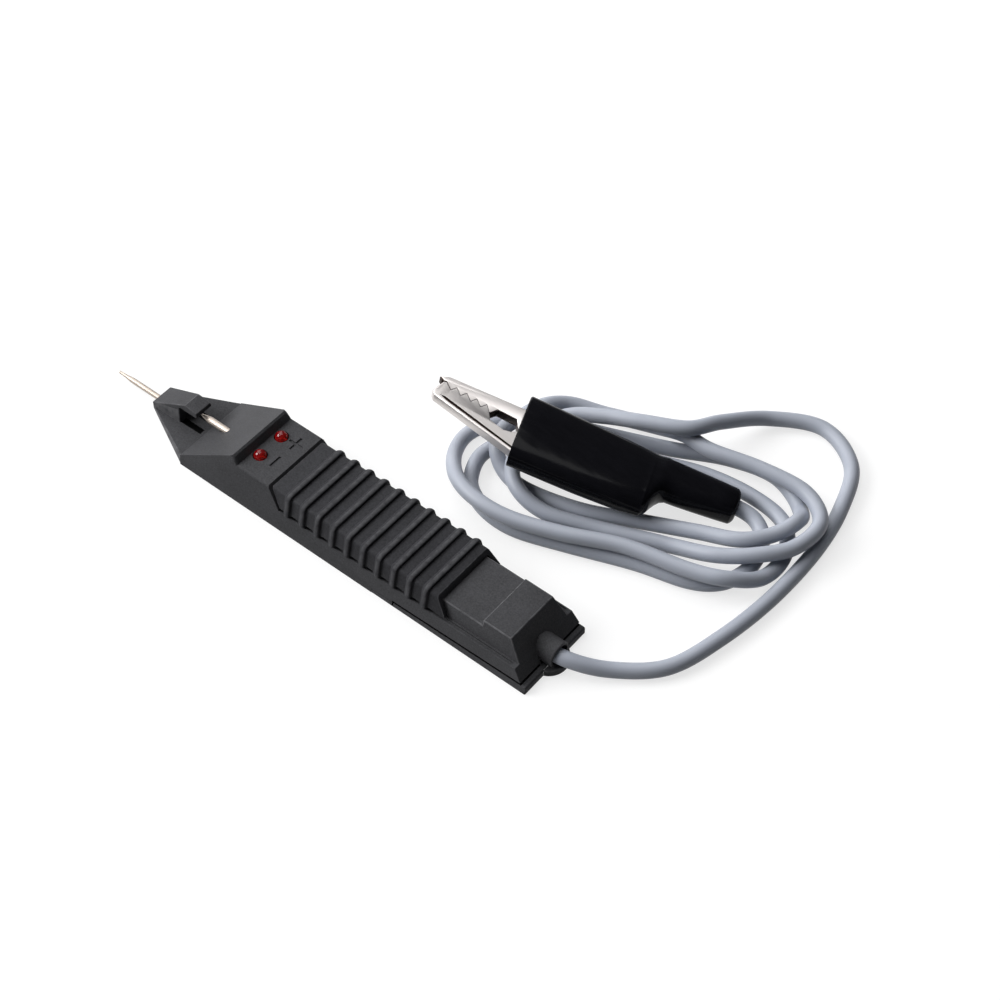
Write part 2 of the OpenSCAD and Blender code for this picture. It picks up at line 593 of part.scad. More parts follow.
module clip_fixed_jaw() color(nickel) in_clip() difference() {
    union() {
        sides(clip_t, sheet) polygon(concat([[24, 3.3], [24, 4.5], [49.2, 4.9], [66.9, 6.1], [69, 5.4],
            [67.9, 4.6]], [for (i = [2 * tooth_count - 2 : -1 : 0]) teeth(0.1)[i]],
            [[56.1, 0.7], [54.75, 2.2], [50.2, 1.56], [49.5, 0], [48.4, -2.2], [46, -3.4],
            [42, -3.4], [40.2, -1.8], [40.2, 1], [38, 3]]));
        band(clip_t) polygon([[24, 4.5 - sheet], [24, 4.5], [49.2, 4.9], [66.9, 6.1], [69, 5.4],
            [68.8, 5.4 - sheet], [66.8, 6.1 - sheet], [49.2, 4.9 - sheet]]);
        band(2.4) polygon([[24.1, 4.5], [24.1, 4.5 - sheet], [20.4, 2.4], [12, 2.4], [12, 2.4 + sheet],
            [20.2, 2.4 + sheet]]);
    }
    translate([pivot_x, 0, -5]) cylinder(h = 10, d = rivet_d + 2 * bore_gap);
}

module clip_moving_jaw() color(nickel) in_clip() difference() {
    union() {
        sides(clip_t, sheet) polygon(concat([[56.1, 0.3]], teeth(-0.1), [[67.8, 4.3], [69.2, 1.1],
            [68.5, 0.1], [51.8, -5.93], [51.8, -2.48], [55.4, -1.15]]));
        band(clip_t) polygon([[68.5, 0.1], [51.8, -5.93], [51.8, -5.93 + sheet], [68.3, 0.1 + sheet]]);
        for (m = [0, 1]) mirror([0, 0, m]) translate([0, 0, inner_t / 2 - sheet])
            linear_extrude(clip_half - inner_t / 2 + sheet)
            polygon([[51.8, -5.93], [51.8, -2.6], [52.6, -2.3], [52.6, -5.64]]);
        sides(inner_t, sheet) polygon([[52, -2.6], [51.2, -2.7], [48.6, -1.2], [47.2, 1.8], [44, 3],
            [41.4, 1.8], [40, -3.5], [34, -5.6], [22, -6.2], [22, -7], [38, -7.3], [47, -7.3], [52, -5.86]]);
        band(inner_t) polygon([[22, -7], [38, -7.3], [47, -7.3], [52, -5.86], [52, -5.2],
            [46.9, -6.7], [38, -6.7], [22, -6.4]]);
        band(4.4) polygon([[22, -7], [33, -7.2], [33, -6.6], [22, -6.4]]);
    }
    translate([pivot_x, 0, -5]) cylinder(h = 10, d = rivet_d + 2 * bore_gap);
}

module clip_rivet() color(steel) in_clip() translate([pivot_x, 0, 0]) {
    cylinder(h = clip_t + 0.4, d = rivet_d, center = true);
    for (m = [0, 1]) mirror([0, 0, m]) translate([0, 0, clip_half]) cylinder(h = 0.5, d1 = 3.6, d2 = 3);
}

module clip_spring() color(steel) in_clip() translate([pivot_x, 0, 0]) tube(concat(
    [[-11, 3.65, -0.5], [-6, 3, -0.5]],
    [for (i = [0 : 32]) [1.5 * cos(120 - 30 * i), 1.5 * sin(120 - 30 * i), -0.5 + i / 32]],
    [[-6, -4.6, 0.5], [-11, -6.35, 0.5]]), spring_wire, 6);

module clip_ferrule() color(steel) at_clip() difference() {
    rod_x(11.2, 18, 3.6, 0);
    rod_x(11, 19, 1.8, 0);
}

// Soft sleeve over the clip
function oval(x, y, a, b, e) = [for (k = [0 : 35]) let (c = cos(10 * k), s = sin(10 * k))
    [x, a * sign(c) * pow(abs(c), 2 / e) + y, b * sign(s) * pow(abs(s), 2 / e)]];

module clip_sleeve() color(sleeve_black) at_clip() difference() {
    skin([oval(0, 0, tail_d / 2, tail_d / 2 - 0.5, 2), oval(0.8, 0, tail_d / 2 + 0.75, tail_d / 2, 2.2),
        oval(15, -0.35, 4.85, sleeve_h / 2 - 0.55, 2.4), oval(16.8, 0.4, 5.9, sleeve_h / 2 - 0.4, 2.4),
        oval(18.2, 1.9, 7.4, sleeve_h / 2 - 0.35, 2.3), oval(19.4, 2.6, 8.1, sleeve_h / 2 - 0.3, 2.3),
        oval(24, 2.5, 8.35, sleeve_h / 2 - 0.15, 2.9), oval(34, 1.9, 8.6, sleeve_h / 2 - 0.05, 3.5),
        oval(sleeve_len, 0.6, mouth_w / 2, sleeve_h / 2, 4)]);
    skin([oval(10.8, 0, 3, 2.5, 2), oval(15, -0.35, 4.85 - sleeve_wall, 3, 2.4),
        oval(17.2, 0.6, 6.1 - sleeve_wall, 3.1, 2.4), oval(19.8, 2.5, 8.1 - sleeve_wall, 3.2, 2.3),
        oval(24, 2.5, 8.35 - sleeve_wall, 3.35, 2.9), oval(34, 1.9, 8.6 - sleeve_wall, 3.45, 3.5),
        oval(sleeve_len + 1, 0.6, mouth_w / 2 - sleeve_wall, sleeve_h / 2 - sleeve_wall, 4)]);
    rod_x(-1, 12, cable_d + 6 * bore_gap, 0);
}

upper_housing();
base_cover();
probe_pin();
probe_contact();
circuit_board();
led_plus();
led_minus();
resistor_left();
resistor_right();
diode();
needle_wiper();
return_spring();
cover_screw_left();
cover_screw_right();
cover_screw_rear();
cable_clamp();
inner_lead();
cable();
thumb_slide();
needle_carrier();
piercing_needle();
carrier_screw();
clip_fixed_jaw();
clip_moving_jaw();
clip_rivet();
clip_spring();
clip_ferrule();
clip_sleeve();
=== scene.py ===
import bpy
import bmesh
import math
from mathutils import Matrix, Vector


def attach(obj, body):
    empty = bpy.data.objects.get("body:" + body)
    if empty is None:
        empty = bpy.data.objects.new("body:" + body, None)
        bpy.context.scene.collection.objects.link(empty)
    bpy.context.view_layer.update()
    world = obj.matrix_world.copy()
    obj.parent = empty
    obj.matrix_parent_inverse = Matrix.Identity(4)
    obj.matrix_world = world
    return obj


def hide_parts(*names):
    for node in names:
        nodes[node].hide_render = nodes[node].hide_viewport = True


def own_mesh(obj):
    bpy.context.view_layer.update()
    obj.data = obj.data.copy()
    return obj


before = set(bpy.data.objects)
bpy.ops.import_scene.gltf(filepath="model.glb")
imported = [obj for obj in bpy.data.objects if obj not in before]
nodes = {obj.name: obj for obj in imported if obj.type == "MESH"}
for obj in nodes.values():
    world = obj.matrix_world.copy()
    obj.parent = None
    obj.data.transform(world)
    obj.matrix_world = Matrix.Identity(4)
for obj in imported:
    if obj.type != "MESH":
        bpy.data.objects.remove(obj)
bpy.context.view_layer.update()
print("frame loaded:", len(nodes), "nodes")

mm = 0.001
noseToMiddle = 49.5  # lengths in mm run back from the nose's front edge


def atNose(x, y, z):
    return Vector(((x - noseToMiddle) * mm, y * mm, z * mm))


def linked(name, data):
    obj = bpy.data.objects.new(name, data)
    bpy.context.collection.objects.link(obj)
    return obj


# camera, placed so that the tester lies as it does in the photograph
cameraSet = {
    "target": (0.02577, 0.02588, 0.0),
    "azimuth": 39.031,
    "elevation": 51.060,
    "distance": 0.46358,
    "lens": 77.92,
    "sensor": 36.0,
    "near": 0.01,
    "far": 20.0,
}


def addCamera(c):
    az, el = math.radians(c["azimuth"]), math.radians(c["elevation"])
    back = Vector((math.sin(az) * math.cos(el), -math.cos(az) * math.cos(el), math.sin(el)))
    data = bpy.data.cameras.new("camera")
    data.lens = c["lens"]
    data.sensor_width = c["sensor"]
    data.clip_start = c["near"]
    data.clip_end = c["far"]
    cam = linked("camera", data)
    cam.location = Vector(c["target"]) + back * c["distance"]
    cam.rotation_euler = back.to_track_quat("Z", "Y").to_euler()
    bpy.context.scene.camera = cam


addCamera(cameraSet)


# small helpers for pieces, node trees and meshes
def standsFor(piece, body, node):
    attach(piece, body)
    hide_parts(node)


def socket(tree, name, kind, way="INPUT"):
    tree.interface.new_socket(name=name, in_out=way, socket_type="NodeSocket" + kind)


def add(tree, kind, settings=None, **inputs):
    # one node; an input is a value or another node's output
    n = tree.nodes.new(kind)
    for k, v in (settings or {}).items():
        setattr(n, k, v)
    for k, v in inputs.items():
        key = int(k[2:]) if k.startswith("in") and k[2:].isdigit() else k.replace("_", " ")
        if isinstance(v, bpy.types.NodeSocket):
            tree.links.new(v, n.inputs[key])
        else:
            n.inputs[key].default_value = v
    return n


def shapeTree(name, sockets):
    # a tree that takes a shape and a material, and the named inputs
    tree = bpy.data.node_groups.new(name, "GeometryNodeTree")
    socket(tree, "Geometry", "Geometry")
    socket(tree, "Geometry", "Geometry", "OUTPUT")
    for n, kind in sockets + [("Material", "Material")]:
        socket(tree, n, kind)
    return tree, tree.nodes.new("NodeGroupInput"), tree.nodes.new("NodeGroupOutput")


def endTree(tree, start, end, shape):
    realized = add(tree, "GeometryNodeRealizeInstances", Geometry=shape)
    painted = add(tree, "GeometryNodeSetMaterial", Geometry=realized.outputs[0],
        Material=start.outputs["Material"])
    tree.links.new(painted.outputs[0], end.inputs[0])


def plain(obj):
    # the evaluated shape becomes the object's own mesh, with no modifier left
    bpy.context.view_layer.update()
    deps = bpy.context.evaluated_depsgraph_get()
    mesh = bpy.data.meshes.new_from_object(obj.evaluated_get(deps), preserve_all_data_layers=True,
        depsgraph=deps)
    obj.modifiers.clear()
    obj.data = mesh
    mesh.name = obj.name
    return obj


def runTree(obj, tree, **values):
    mod = obj.modifiers.new(tree.name, "NODES")
    mod.node_group = tree
    for item in tree.interface.items_tree:
        if item.item_type == "SOCKET" and item.in_out == "INPUT" and item.name in values:
            mod[item.identifier] = values[item.name]
    obj.update_tag()
    return plain(obj)


def bothShapes(tree, start, added):
    both = tree.nodes.new("GeometryNodeJoinGeometry")
    for shape in (start.outputs["Geometry"], added):
        tree.links.new(shape, both.inputs[0])
    return both.outputs[0]


def meshObject(name, verts, faces, material=None, edges=()):
    mesh = bpy.data.meshes.new(name)
    mesh.from_pydata([tuple(v) for v in verts], list(edges), faces)
    mesh.update()
    if material:
        mesh.materials.append(material)
    return linked(name, mesh)


def pathObject(name, points):
    return meshObject(name, points, [], edges=[(i, i + 1) for i in range(len(points) - 1)])


def opened(mesh):
    bm = bmesh.new()
    bm.from_mesh(mesh)
    return bm


def closed(bm, mesh):
    bm.to_mesh(mesh)
    bm.free()


def bmObject(name, bm):
    mesh = bpy.data.meshes.new(name)
    closed(bm, mesh)
    return linked(name, mesh)


def tidyMesh(obj, merge, smoothBelow):
    # welds, turns the faces outwards, and smooths all but the sharp edges
    bm = opened(obj.data)
    bmesh.ops.remove_doubles(bm, verts=bm.verts, dist=merge)
    bmesh.ops.recalc_face_normals(bm, faces=bm.faces)
    limit = math.radians(smoothBelow)
    for f in bm.faces:
        f.smooth = True
    for e in bm.edges:
        e.smooth = len(e.link_faces) == 2 and e.calc_face_angle(0) < limit
    closed(bm, obj.data)
    obj.data.update()
    return obj


def joined(name, parts):
    # several meshes as one, each part's materials kept
    bm = bmesh.new()
    mats = []
    for p in parts:
        offset = len(mats)
        mats += list(p.data.materials)
        before = len(bm.faces)
        bm.from_mesh(p.data)
        bm.faces.ensure_lookup_table()
        for f in bm.faces[before:]:
            f.material_index += offset
        bpy.data.objects.remove(p)
    obj = bmObject(name, bm)
    for m in mats:
        obj.data.materials.append(m)
    return obj


def paint(obj, material):
    obj.data.materials.clear()
    obj.data.materials.append(material)
    for p in obj.data.polygons:
        p.material_index = 0
    return obj


def mark(obj, name, values):
    # one number on each face, which a finish reads
    obj.data.attributes.new(name, "FLOAT", "FACE").data.foreach_set("value", values)
    return obj


def ringSkin(rings, closeEnds=True):
    # one skin over rings of the same number of points
    n = len(rings[0])
    verts = [v for r in rings for v in r]
    faces = []
    for i in range(len(rings) - 1):
        for k in range(n):
            j = (k + 1) % n
            faces.append((i * n + k, (i + 1) * n + k, (i + 1) * n + j, i * n + j))
    if closeEnds:
        faces.append(tuple(range(n)))
        faces.append(tuple((len(rings) - 1) * n + k for k in range(n - 1, -1, -1)))
    return verts, faces


def skinMesh(rings):
    # the same skin ready for rounding: the ends first, and all faces turned outwards
    bm = bmesh.new()
    verts, faces = ringSkin(rings)
    vs = [bm.verts.new(v) for v in verts]
    for f in faces[-2:] + faces[:-2]:
        bm.faces.new([vs[i] for i in f])
    bmesh.ops.recalc_face_normals(bm, faces=bm.faces)
    return bm


def turned(name, profile, steps=40):
    # profile of (length, radius) turned about +X; a radius of 0 is a pole
    verts, faces, rows = [], [], []
    for x, r in profile:
        if r <= 0:
            rows.append([len(verts)])
            verts.append((x * mm, 0, 0))
        else:
            rows.append(list(range(len(verts), len(verts) + steps)))
            verts += [(x * mm, r * mm * math.cos(2 * math.pi * k / steps),
                r * mm * math.sin(2 * math.pi * k / steps)) for k in range(steps)]
    for a, b in zip(rows[:-1], rows[1:]):
        for k in range(steps):
            j = (k + 1) % steps
            if len(a) == 1 and len(b) == 1:
                continue
            if len(a) == 1:
                faces.append((a[0], b[k], b[j]))
            elif len(b) == 1:
                faces.append((a[k], b[0], a[j]))
            else:
                faces.append((a[k], b[k], b[j], a[j]))
    return meshObject(name, verts, faces)


def placed(obj, matrix):
    obj.data.transform(matrix)
    return obj


alongZ = Matrix.Rotation(math.radians(-90), 4, "Y")  # a turned piece stood up


def upright(x, y=0.0):
    return Matrix.Translation(atNose(x, y, 0)) @ alongZ


def lying(height):
    return Matrix.Translation(atNose(0, 0, height))


def mirrored(side):
    # one end's profile and the same at the other end
    return [(-x, r) for x, r in reversed(side)] + side


# helpers for finishes; an input is a value or another node's output
def sums(t, operation, a, b, c=None, clamp=False):
    n = add(t, "ShaderNodeMath", {"operation": operation, "use_clamp": clamp}, in0=a, in1=b)
    if isinstance(c, bpy.types.NodeSocket):
        t.links.new(c, n.inputs[2])
    elif c is not None:
        n.inputs[2].default_value = c
    return n.outputs[0]


def mixed(t, share, a, b):
    return add(t, "ShaderNodeMix", {"data_type": "RGBA"}, in0=share, in6=a, in7=b).outputs[2]


def ranged(t, value, low, high, **more):
    return add(t, "ShaderNodeMapRange", Value=value, From_Min=low, From_Max=high, **more).outputs[0]


def noise(t, vec, scale, detail, rough=0.5):
    return add(t, "ShaderNodeTexNoise", Vector=vec, Scale=scale, Detail=detail,
        Roughness=rough).outputs["Fac"]


def faceMark(t, name):
    return add(t, "ShaderNodeAttribute", {"attribute_name": name}).outputs["Fac"]


def startMaterial(name, **shine):
    mat = bpy.data.materials.new(name)
    mat.use_nodes = True
    t = mat.node_tree
    bsdf = t.nodes["Principled BSDF"]
    for k, v in shine.items():
        bsdf.inputs[k.replace("_", " ")].default_value = v
    return mat, t, bsdf


def placedVector(t, centre=(0, 0, 0), turn=(0, 0, 0), stretch=(1, 1, 1)):
    coord = add(t, "ShaderNodeTexCoord")
    spot = add(t, "ShaderNodeMapping", Vector=coord.outputs["Object"], Location=tuple(-c for c in centre))
    return add(t, "ShaderNodeMapping", Vector=spot.outputs[0], Rotation=turn, Scale=stretch).outputs[0]


def surface(t, bsdf, colour, rough, height=None, strength=0.0, distance=0.0):
    t.links.new(colour, bsdf.inputs["Base Color"])
    t.links.new(rough, bsdf.inputs["Roughness"])
    if distance:
        bump = add(t, "ShaderNodeBump", Height=height, Strength=strength, Distance=distance)
        t.links.new(bump.outputs[0], bsdf.inputs["Normal"])


# shader groups that several finishes share
socketKinds = {"Vector": "Vector", "Tone": "Color", "Other": "Color", "Color": "Color", "Rubbed": "Color"}


def shaderGroup(name, inputs, outputs):
    tree = bpy.data.node_groups.new(name, "ShaderNodeTree")
    for names, way in ((inputs, "INPUT"), (outputs, "OUTPUT")):
        for n in names:
            socket(tree, n, socketKinds.get(n, "Float"), way)
    return tree, tree.nodes.new("NodeGroupInput").outputs, tree.nodes.new("NodeGroupOutput").inputs


def endGroup(t, ends, *results):
    for end, result in zip(ends, results):
        t.links.new(result, end)
    return t


def buildMouldedGrain():
    # fine spark-eroded grain with broad, faint clouds in tone and gloss
    t, given, ends = shaderGroup("mouldedGrain", ("Vector", "Tone", "Other", "Scale", "Gloss", "Spread"),
        ("Color", "Roughness", "Height"))
    fine = noise(t, given["Vector"], given["Scale"], detail=3.0, rough=0.6)
    cloud = noise(t, given["Vector"], scale=160.0, detail=4.0, rough=0.55)
    fleck = sums(t, "MULTIPLY", ranged(t, fine, 0.3, 0.74), 0.7)
    drift = ranged(t, cloud, 0.3, 0.7)
    both = sums(t, "MULTIPLY_ADD", drift, 0.25, fleck, clamp=True)
    gloss = sums(t, "MULTIPLY_ADD", both, given["Spread"], given["Gloss"])
    return endGroup(t, ends, mixed(t, both, given["Tone"], given["Other"]), gloss, fine)


def buildEdgeWearAndHighlight():
    # rubbed edges, partly wear and partly a painted highlight: a mask that is 1 on the rounded edges,
    # broken up by noise, paints them lighter and glossier
    t, given, ends = shaderGroup("edgeWear",
        ("Vector", "Mask", "Color", "Rubbed", "Roughness", "Polish", "Amount"), ("Color", "Roughness"))
    patch = ranged(t, noise(t, given["Vector"], scale=700.0, detail=3.0), 0.25, 0.6)
    lightened = sums(t, "MULTIPLY", sums(t, "MULTIPLY", patch, given["Mask"]), given["Amount"])
    rough = sums(t, "SUBTRACT", given["Roughness"], sums(t, "MULTIPLY", lightened, given["Polish"]))
    return endGroup(t, ends, mixed(t, lightened, given["Color"], given["Rubbed"]), rough)


def buildDrawnMetal():
    # fine lines left by rolling, grinding or turning, stretched by the vector's scale
    t, given, ends = shaderGroup("drawnMetal", ("Vector", "Tone", "Other", "Scale", "Gloss", "Spread"),
        ("Color", "Roughness", "Height"))
    lines = noise(t, given["Vector"], given["Scale"], detail=4.0, rough=0.65)
    stain = ranged(t, noise(t, given["Vector"], scale=120.0, detail=5.0, rough=0.6), 0.42, 0.72)
    gloss = sums(t, "MULTIPLY_ADD", sums(t, "ADD", stain, lines), given["Spread"], given["Gloss"])
    return endGroup(t, ends, mixed(t, stain, given["Tone"], given["Other"]), gloss, lines)


mouldedGrain = buildMouldedGrain()
edgeWear = buildEdgeWearAndHighlight()
drawnMetal = buildDrawnMetal()


def plasticFinish(name, tone, light, rubbed, grain, gloss, wearAndHighlightAmount, level, spread=0.12):
    mat, t, bsdf = startMaterial(name, Specular_IOR_Level=level)
    vec = placedVector(t)
    g = add(t, "ShaderNodeGroup", {"node_tree": mouldedGrain}, Vector=vec, Tone=tone, Other=light,
        Scale=grain, Gloss=gloss, Spread=spread).outputs
    w = add(t, "ShaderNodeGroup", {"node_tree": edgeWear}, Vector=vec, Mask=faceMark(t, "rubbed"),
        Color=g["Color"], Rubbed=rubbed, Roughness=g["Roughness"], Polish=0.12, Amount=wearAndHighlightAmount).outputs
    # painted shade: gaps that the light doesn't reach are painted near black
    shade = mixed(t, faceMark(t, "deepSeam"), w["Color"], (0.0015, 0.0015, 0.0017, 1))
    surface(t, bsdf, shade, w["Roughness"], g["Height"], 0.35, 0.000025)
    return mat


def metalFinish(name, tone, dull, lines, gloss, spread, turn=(0, 0, 0), stretch=(1, 1, 1), bump=0.000004,
        edges=None):
    mat, t, bsdf = startMaterial(name, Metallic=1.0)
    vec = placedVector(t, turn=turn, stretch=stretch)
    g = add(t, "ShaderNodeGroup", {"node_tree": drawnMetal}, Vector=vec, Tone=tone, Other=dull, Scale=lines,
        Gloss=gloss, Spread=spread).outputs
    # thin plating and grime on the sheet's cut edges, and painted shade in the groove along the fold
    colour = mixed(t, faceMark(t, "cutEdge"), g["Color"], edges) if edges else g["Color"]
    surface(t, bsdf, colour, g["Roughness"], g["Height"], 0.4, bump)
    return mat


clipTurn = (0, math.radians(-10), math.radians(-22))
# each plastic's third colour paints its rounded edges lighter, partly for wear and partly as a painted
# highlight
housingPlastic = plasticFinish("housingPlastic", (0.040, 0.040, 0.042, 1), (0.082, 0.082, 0.088, 1),
    (0.15, 0.15, 0.157, 1), grain=3000.0, gloss=0.46, wearAndHighlightAmount=0.6, level=0.05)
slidePlastic = plasticFinish("slidePlastic", (0.022, 0.022, 0.024, 1), (0.048, 0.048, 0.053, 1),
    (0.13, 0.13, 0.137, 1), grain=2600.0, gloss=0.48, wearAndHighlightAmount=0.45, level=0.05)
carrierNylon = plasticFinish("carrierNylon", (0.62, 0.61, 0.56, 1), (0.74, 0.73, 0.68, 1),
    (0.8, 0.8, 0.76, 1), grain=2500.0, gloss=0.35, wearAndHighlightAmount=0.2, level=0.5, spread=0.1)
pinSteel = metalFinish("pinSteel", (0.50, 0.44, 0.39, 1), (0.38, 0.32, 0.27, 1), lines=260.0, gloss=0.44,
    spread=0.06, stretch=(0.3, 1, 1), bump=0.0000005)
clipNickel = metalFinish("clipNickel", (0.80, 0.76, 0.74, 1), (0.70, 0.66, 0.64, 1), lines=900.0,
    gloss=0.36, spread=0.08, turn=clipTurn, stretch=(0.5, 3, 1), bump=0.000002,
    edges=(0.05, 0.034, 0.028, 1))
contactBrass = metalFinish("contactBrass", (0.80, 0.62, 0.30, 1), (0.60, 0.44, 0.2, 1), lines=700.0,
    gloss=0.25, spread=0.15, stretch=(0.5, 4, 1))
screwZinc = metalFinish("screwZinc", (0.66, 0.66, 0.64, 1), (0.50, 0.48, 0.44, 1), lines=1500.0, gloss=0.3,
    spread=0.15)
springSteel = metalFinish("springSteel", (0.55, 0.55, 0.56, 1), (0.38, 0.37, 0.36, 1), lines=1200.0,
    gloss=0.25, spread=0.15)
tinnedWire = metalFinish("tinnedWire", (0.74, 0.74, 0.73, 1), (0.58, 0.57, 0.55, 1), lines=1500.0,
    gloss=0.25, spread=0.12)


def jacketFinish(name, tone, light, gloss):
    # extruded jacket: faint lengthwise drawing lines, read along the lead's own attribute
    mat, t, bsdf = startMaterial(name, Specular_IOR_Level=0.45)
    own = add(t, "ShaderNodeAttribute", {"attribute_name": "alongLead"})
    stretch = add(t, "ShaderNodeMapping", Vector=own.outputs["Vector"], Scale=(1, 1, 0.12))
    fine = noise(t, stretch.outputs[0], scale=1500.0, detail=3.0)
    cloud = noise(t, add(t, "ShaderNodeTexCoord").outputs["Object"], scale=90.0, detail=4.0)
    tint = mixed(t, sums(t, "MULTIPLY_ADD", cloud, 0.9, -0.1, clamp=True), tone, light)
    surface(t, bsdf, tint, sums(t, "MULTIPLY_ADD", fine, 0.16, gloss), fine, 0.25, 0.00001)
    return mat


leadJacket = jacketFinish("leadJacket", (0.35, 0.375, 0.435, 1), (0.41, 0.435, 0.495, 1), gloss=0.38)
innerJacket = jacketFinish("innerJacket", (0.02, 0.02, 0.022, 1), (0.035, 0.035, 0.04, 1), gloss=0.35)


def sleeveFinish():
    # dipped soft vinyl: glossy, with long shallow ripples along the sleeve
    mat, t, bsdf = startMaterial("sleeveVinyl", Specular_IOR_Level=0.1)
    vec = placedVector(t, turn=clipTurn, stretch=(0.25, 1, 1))
    ripple = noise(t, vec, scale=260.0, detail=2.0)
    cloud = noise(t, vec, scale=900.0, detail=3.0)
    tone = mixed(t, cloud, (0.003, 0.003, 0.004, 1), (0.006, 0.006, 0.008, 1))
    surface(t, bsdf, tone, sums(t, "MULTIPLY_ADD", cloud, 0.1, 0.1), ripple, 0.3, 0.0003)
    return mat


def lampFinish():
    # tinted resin, deep at the top of the dome; painted light makes it brighter at its foot and its rear
    # side
    mat, t, bsdf = startMaterial("lampResin", IOR=1.5, Transmission_Weight=0.55)
    vec = placedVector(t)
    cloud = noise(t, vec, scale=900.0, detail=2.0)
    place = add(t, "ShaderNodeSeparateXYZ", Vector=vec).outputs
    # painted light: the dome's foot and rear side are painted brighter, in place of light refracted through
    # the resin
    foot = sums(t, "MULTIPLY", ranged(t, place[2], 0.0118, 0.0106), 0.45)
    thin = sums(t, "MULTIPLY_ADD", ranged(t, place[0], -0.0155, -0.0146), 0.8, foot, clamp=True)
    soft = sums(t, "MULTIPLY_ADD", cloud, 0.05, thin, clamp=True)
    tone = mixed(t, soft, (0.30, 0.0, 0.004, 1), (1.0, 0.03, 0.02, 1))
    surface(t, bsdf, tone, sums(t, "MULTIPLY_ADD", cloud, 0.05, 0.04))
    return mat


def boardFinish():
    # green solder mask over copper tracks that run along the board
    mat, t, bsdf = startMaterial("solderMask", Specular_IOR_Level=0.5)
    vec = placedVector(t)
    tracks = add(t, "ShaderNodeTexBrick", Vector=vec, Scale=190.0, Mortar_Size=0.045, Mortar_Smooth=0.1,
        Brick_Width=1.6, Row_Height=0.42).outputs["Fac"]
    tone = mixed(t, tracks, (0.018, 0.13, 0.06, 1), (0.05, 0.25, 0.11, 1))
    weave = noise(t, vec, scale=2200.0, detail=2.0)
    surface(t, bsdf, tone, sums(t, "MULTIPLY_ADD", weave, 0.15, 0.2), tracks, 0.4, 0.00003)
    return mat


def bandedFinish(name, body, bands, centre, span):
    # lacquered body with painted rings; bands are (place from -1 to 1, half width, colour)
    mat, t, bsdf = startMaterial(name, Roughness=0.3, Coat_Weight=0.3)
    vec = placedVector(t, centre=(centre, 0, 0))
    unit = sums(t, "DIVIDE", add(t, "ShaderNodeSeparateXYZ", Vector=vec).outputs[0], span)
    grain = noise(t, vec, scale=2500.0, detail=3.0)
    base = mixed(t, grain, body, tuple(min(1, c * 1.25) for c in body[:3]) + (1,))
    for place, half, colour in bands:
        base = mixed(t, sums(t, "COMPARE", unit, place, half), base, colour)
    surface(t, bsdf, base, sums(t, "MULTIPLY_ADD", grain, 0.2, 0.2), grain, 0.2, 0.00002)
    return mat


sleeveVinyl = sleeveFinish()
lampResin = lampFinish()
solderMask = boardFinish()
print("finishes ready")


# the lead: one round jacket swept along its route
leadSet = {"diameter": 0.0034, "sides": 22, "step": 0.0007, "floor": 0.00172, "exit": (0.063, 0.0, 0.0038)}
leadRoute = [  # mm, from inside the gland to inside the clip's sleeve
    (50.2, 0, 3.8), (56.5, 0, 3.8), (63.5, 0, 3.8), (71.5, 4.6, 2), (80, 12.5, 1.75), (84.1, 25, 1.75),
    (86.4, 40, 1.75), (86.5, 56, 1.75), (84.3, 69, 1.75), (79.5, 80, 1.75), (69, 85, 1.75),
    (58.4, 79.2, 2.6), (52.8, 68.9, 6.6), (49.3, 61, 9.1), (40.5, 56.6, 8.7), (32.5, 54, 7),
    (25.6, 50.4, 5.6), (21.9, 43, 5.4), (22.7, 35.2, 5.5), (28, 28, 5.5), (36.5, 27.2, 3.2),
    (47.5, 31.8, 1.75), (61.8, 37.6, 1.75), (72.2, 40, 4.4), (79.4, 44.7, 5.7), (84.1, 51.3, 5.6),
    (84.4, 60, 5.3), (77.5, 64.8, 5.3), (66.5, 64.3, 5.3), (55, 61.6, 5.5), (47.9, 62, 5),
    (39.5, 61.7, 2.2), (29.3, 58.3, 1.75), (22.4, 54.6, 3.4), (19.2, 49.2, 5.4), (17.3, 42.9, 5.4),
    (16.7, 38, 5.5), (18.5, 33.6, 4.9), (23, 31.1, 2.2), (30, 30.6, 1.75), (41.8, 33.5, 1.75),
    (53.9, 39.2, 1.75), (65, 43.3, 3.2), (73.7, 45.6, 5.3), (78.3, 50.6, 5.4), (80.5, 56.9, 5.4),
    (78, 62.7, 1.75), (69, 67, 1.75), (58, 64.9, 1.75), (46.5, 59.2, 1.75), (34.5, 54.2, 1.75),
    (23.6, 49.8, 1.75), (14, 43.9, 1.75), (9.7, 35.9, 1.75), (10.8, 29, 2.1), (16.6, 22.3, 4.7),
    (23.9, 19.6, 5.4), (32.8, 20, 5.3), (44, 23.7, 5.3), (56.4, 29.3, 5.3), (70.1, 32.5, 5.4),
    (77.7, 35.5, 5.6), (82.3, 42.1, 2.9), (82.2, 50.5, 1.75), (77.5, 57.4, 1.75), (68.6, 59.4, 1.75),
    (56.1, 57.9, 1.75), (40.8, 52, 1.75), (26.5, 47, 1.75), (18.3, 39.4, 1.75), (15.6, 32.2, 1.75),
    (18, 25.5, 1.75), (22, 22.2, 1.75), (27.8, 20.4, 1.75), (34.8, 20.7, 1.75), (45.2, 24.2, 1.75),
    (59.1, 29.4, 1.75), (70.3, 32.5, 1.75), (75.8, 36.2, 1.75), (78.2, 41.6, 1.75), (77.9, 47.2, 1.75),
    (75.7, 51.7, 2.1), (72.2, 53.9, 2.7), (67.8, 53.7, 3.4), (64.1, 52.2, 4.1), (57.8, 49.7, 5.3),
]


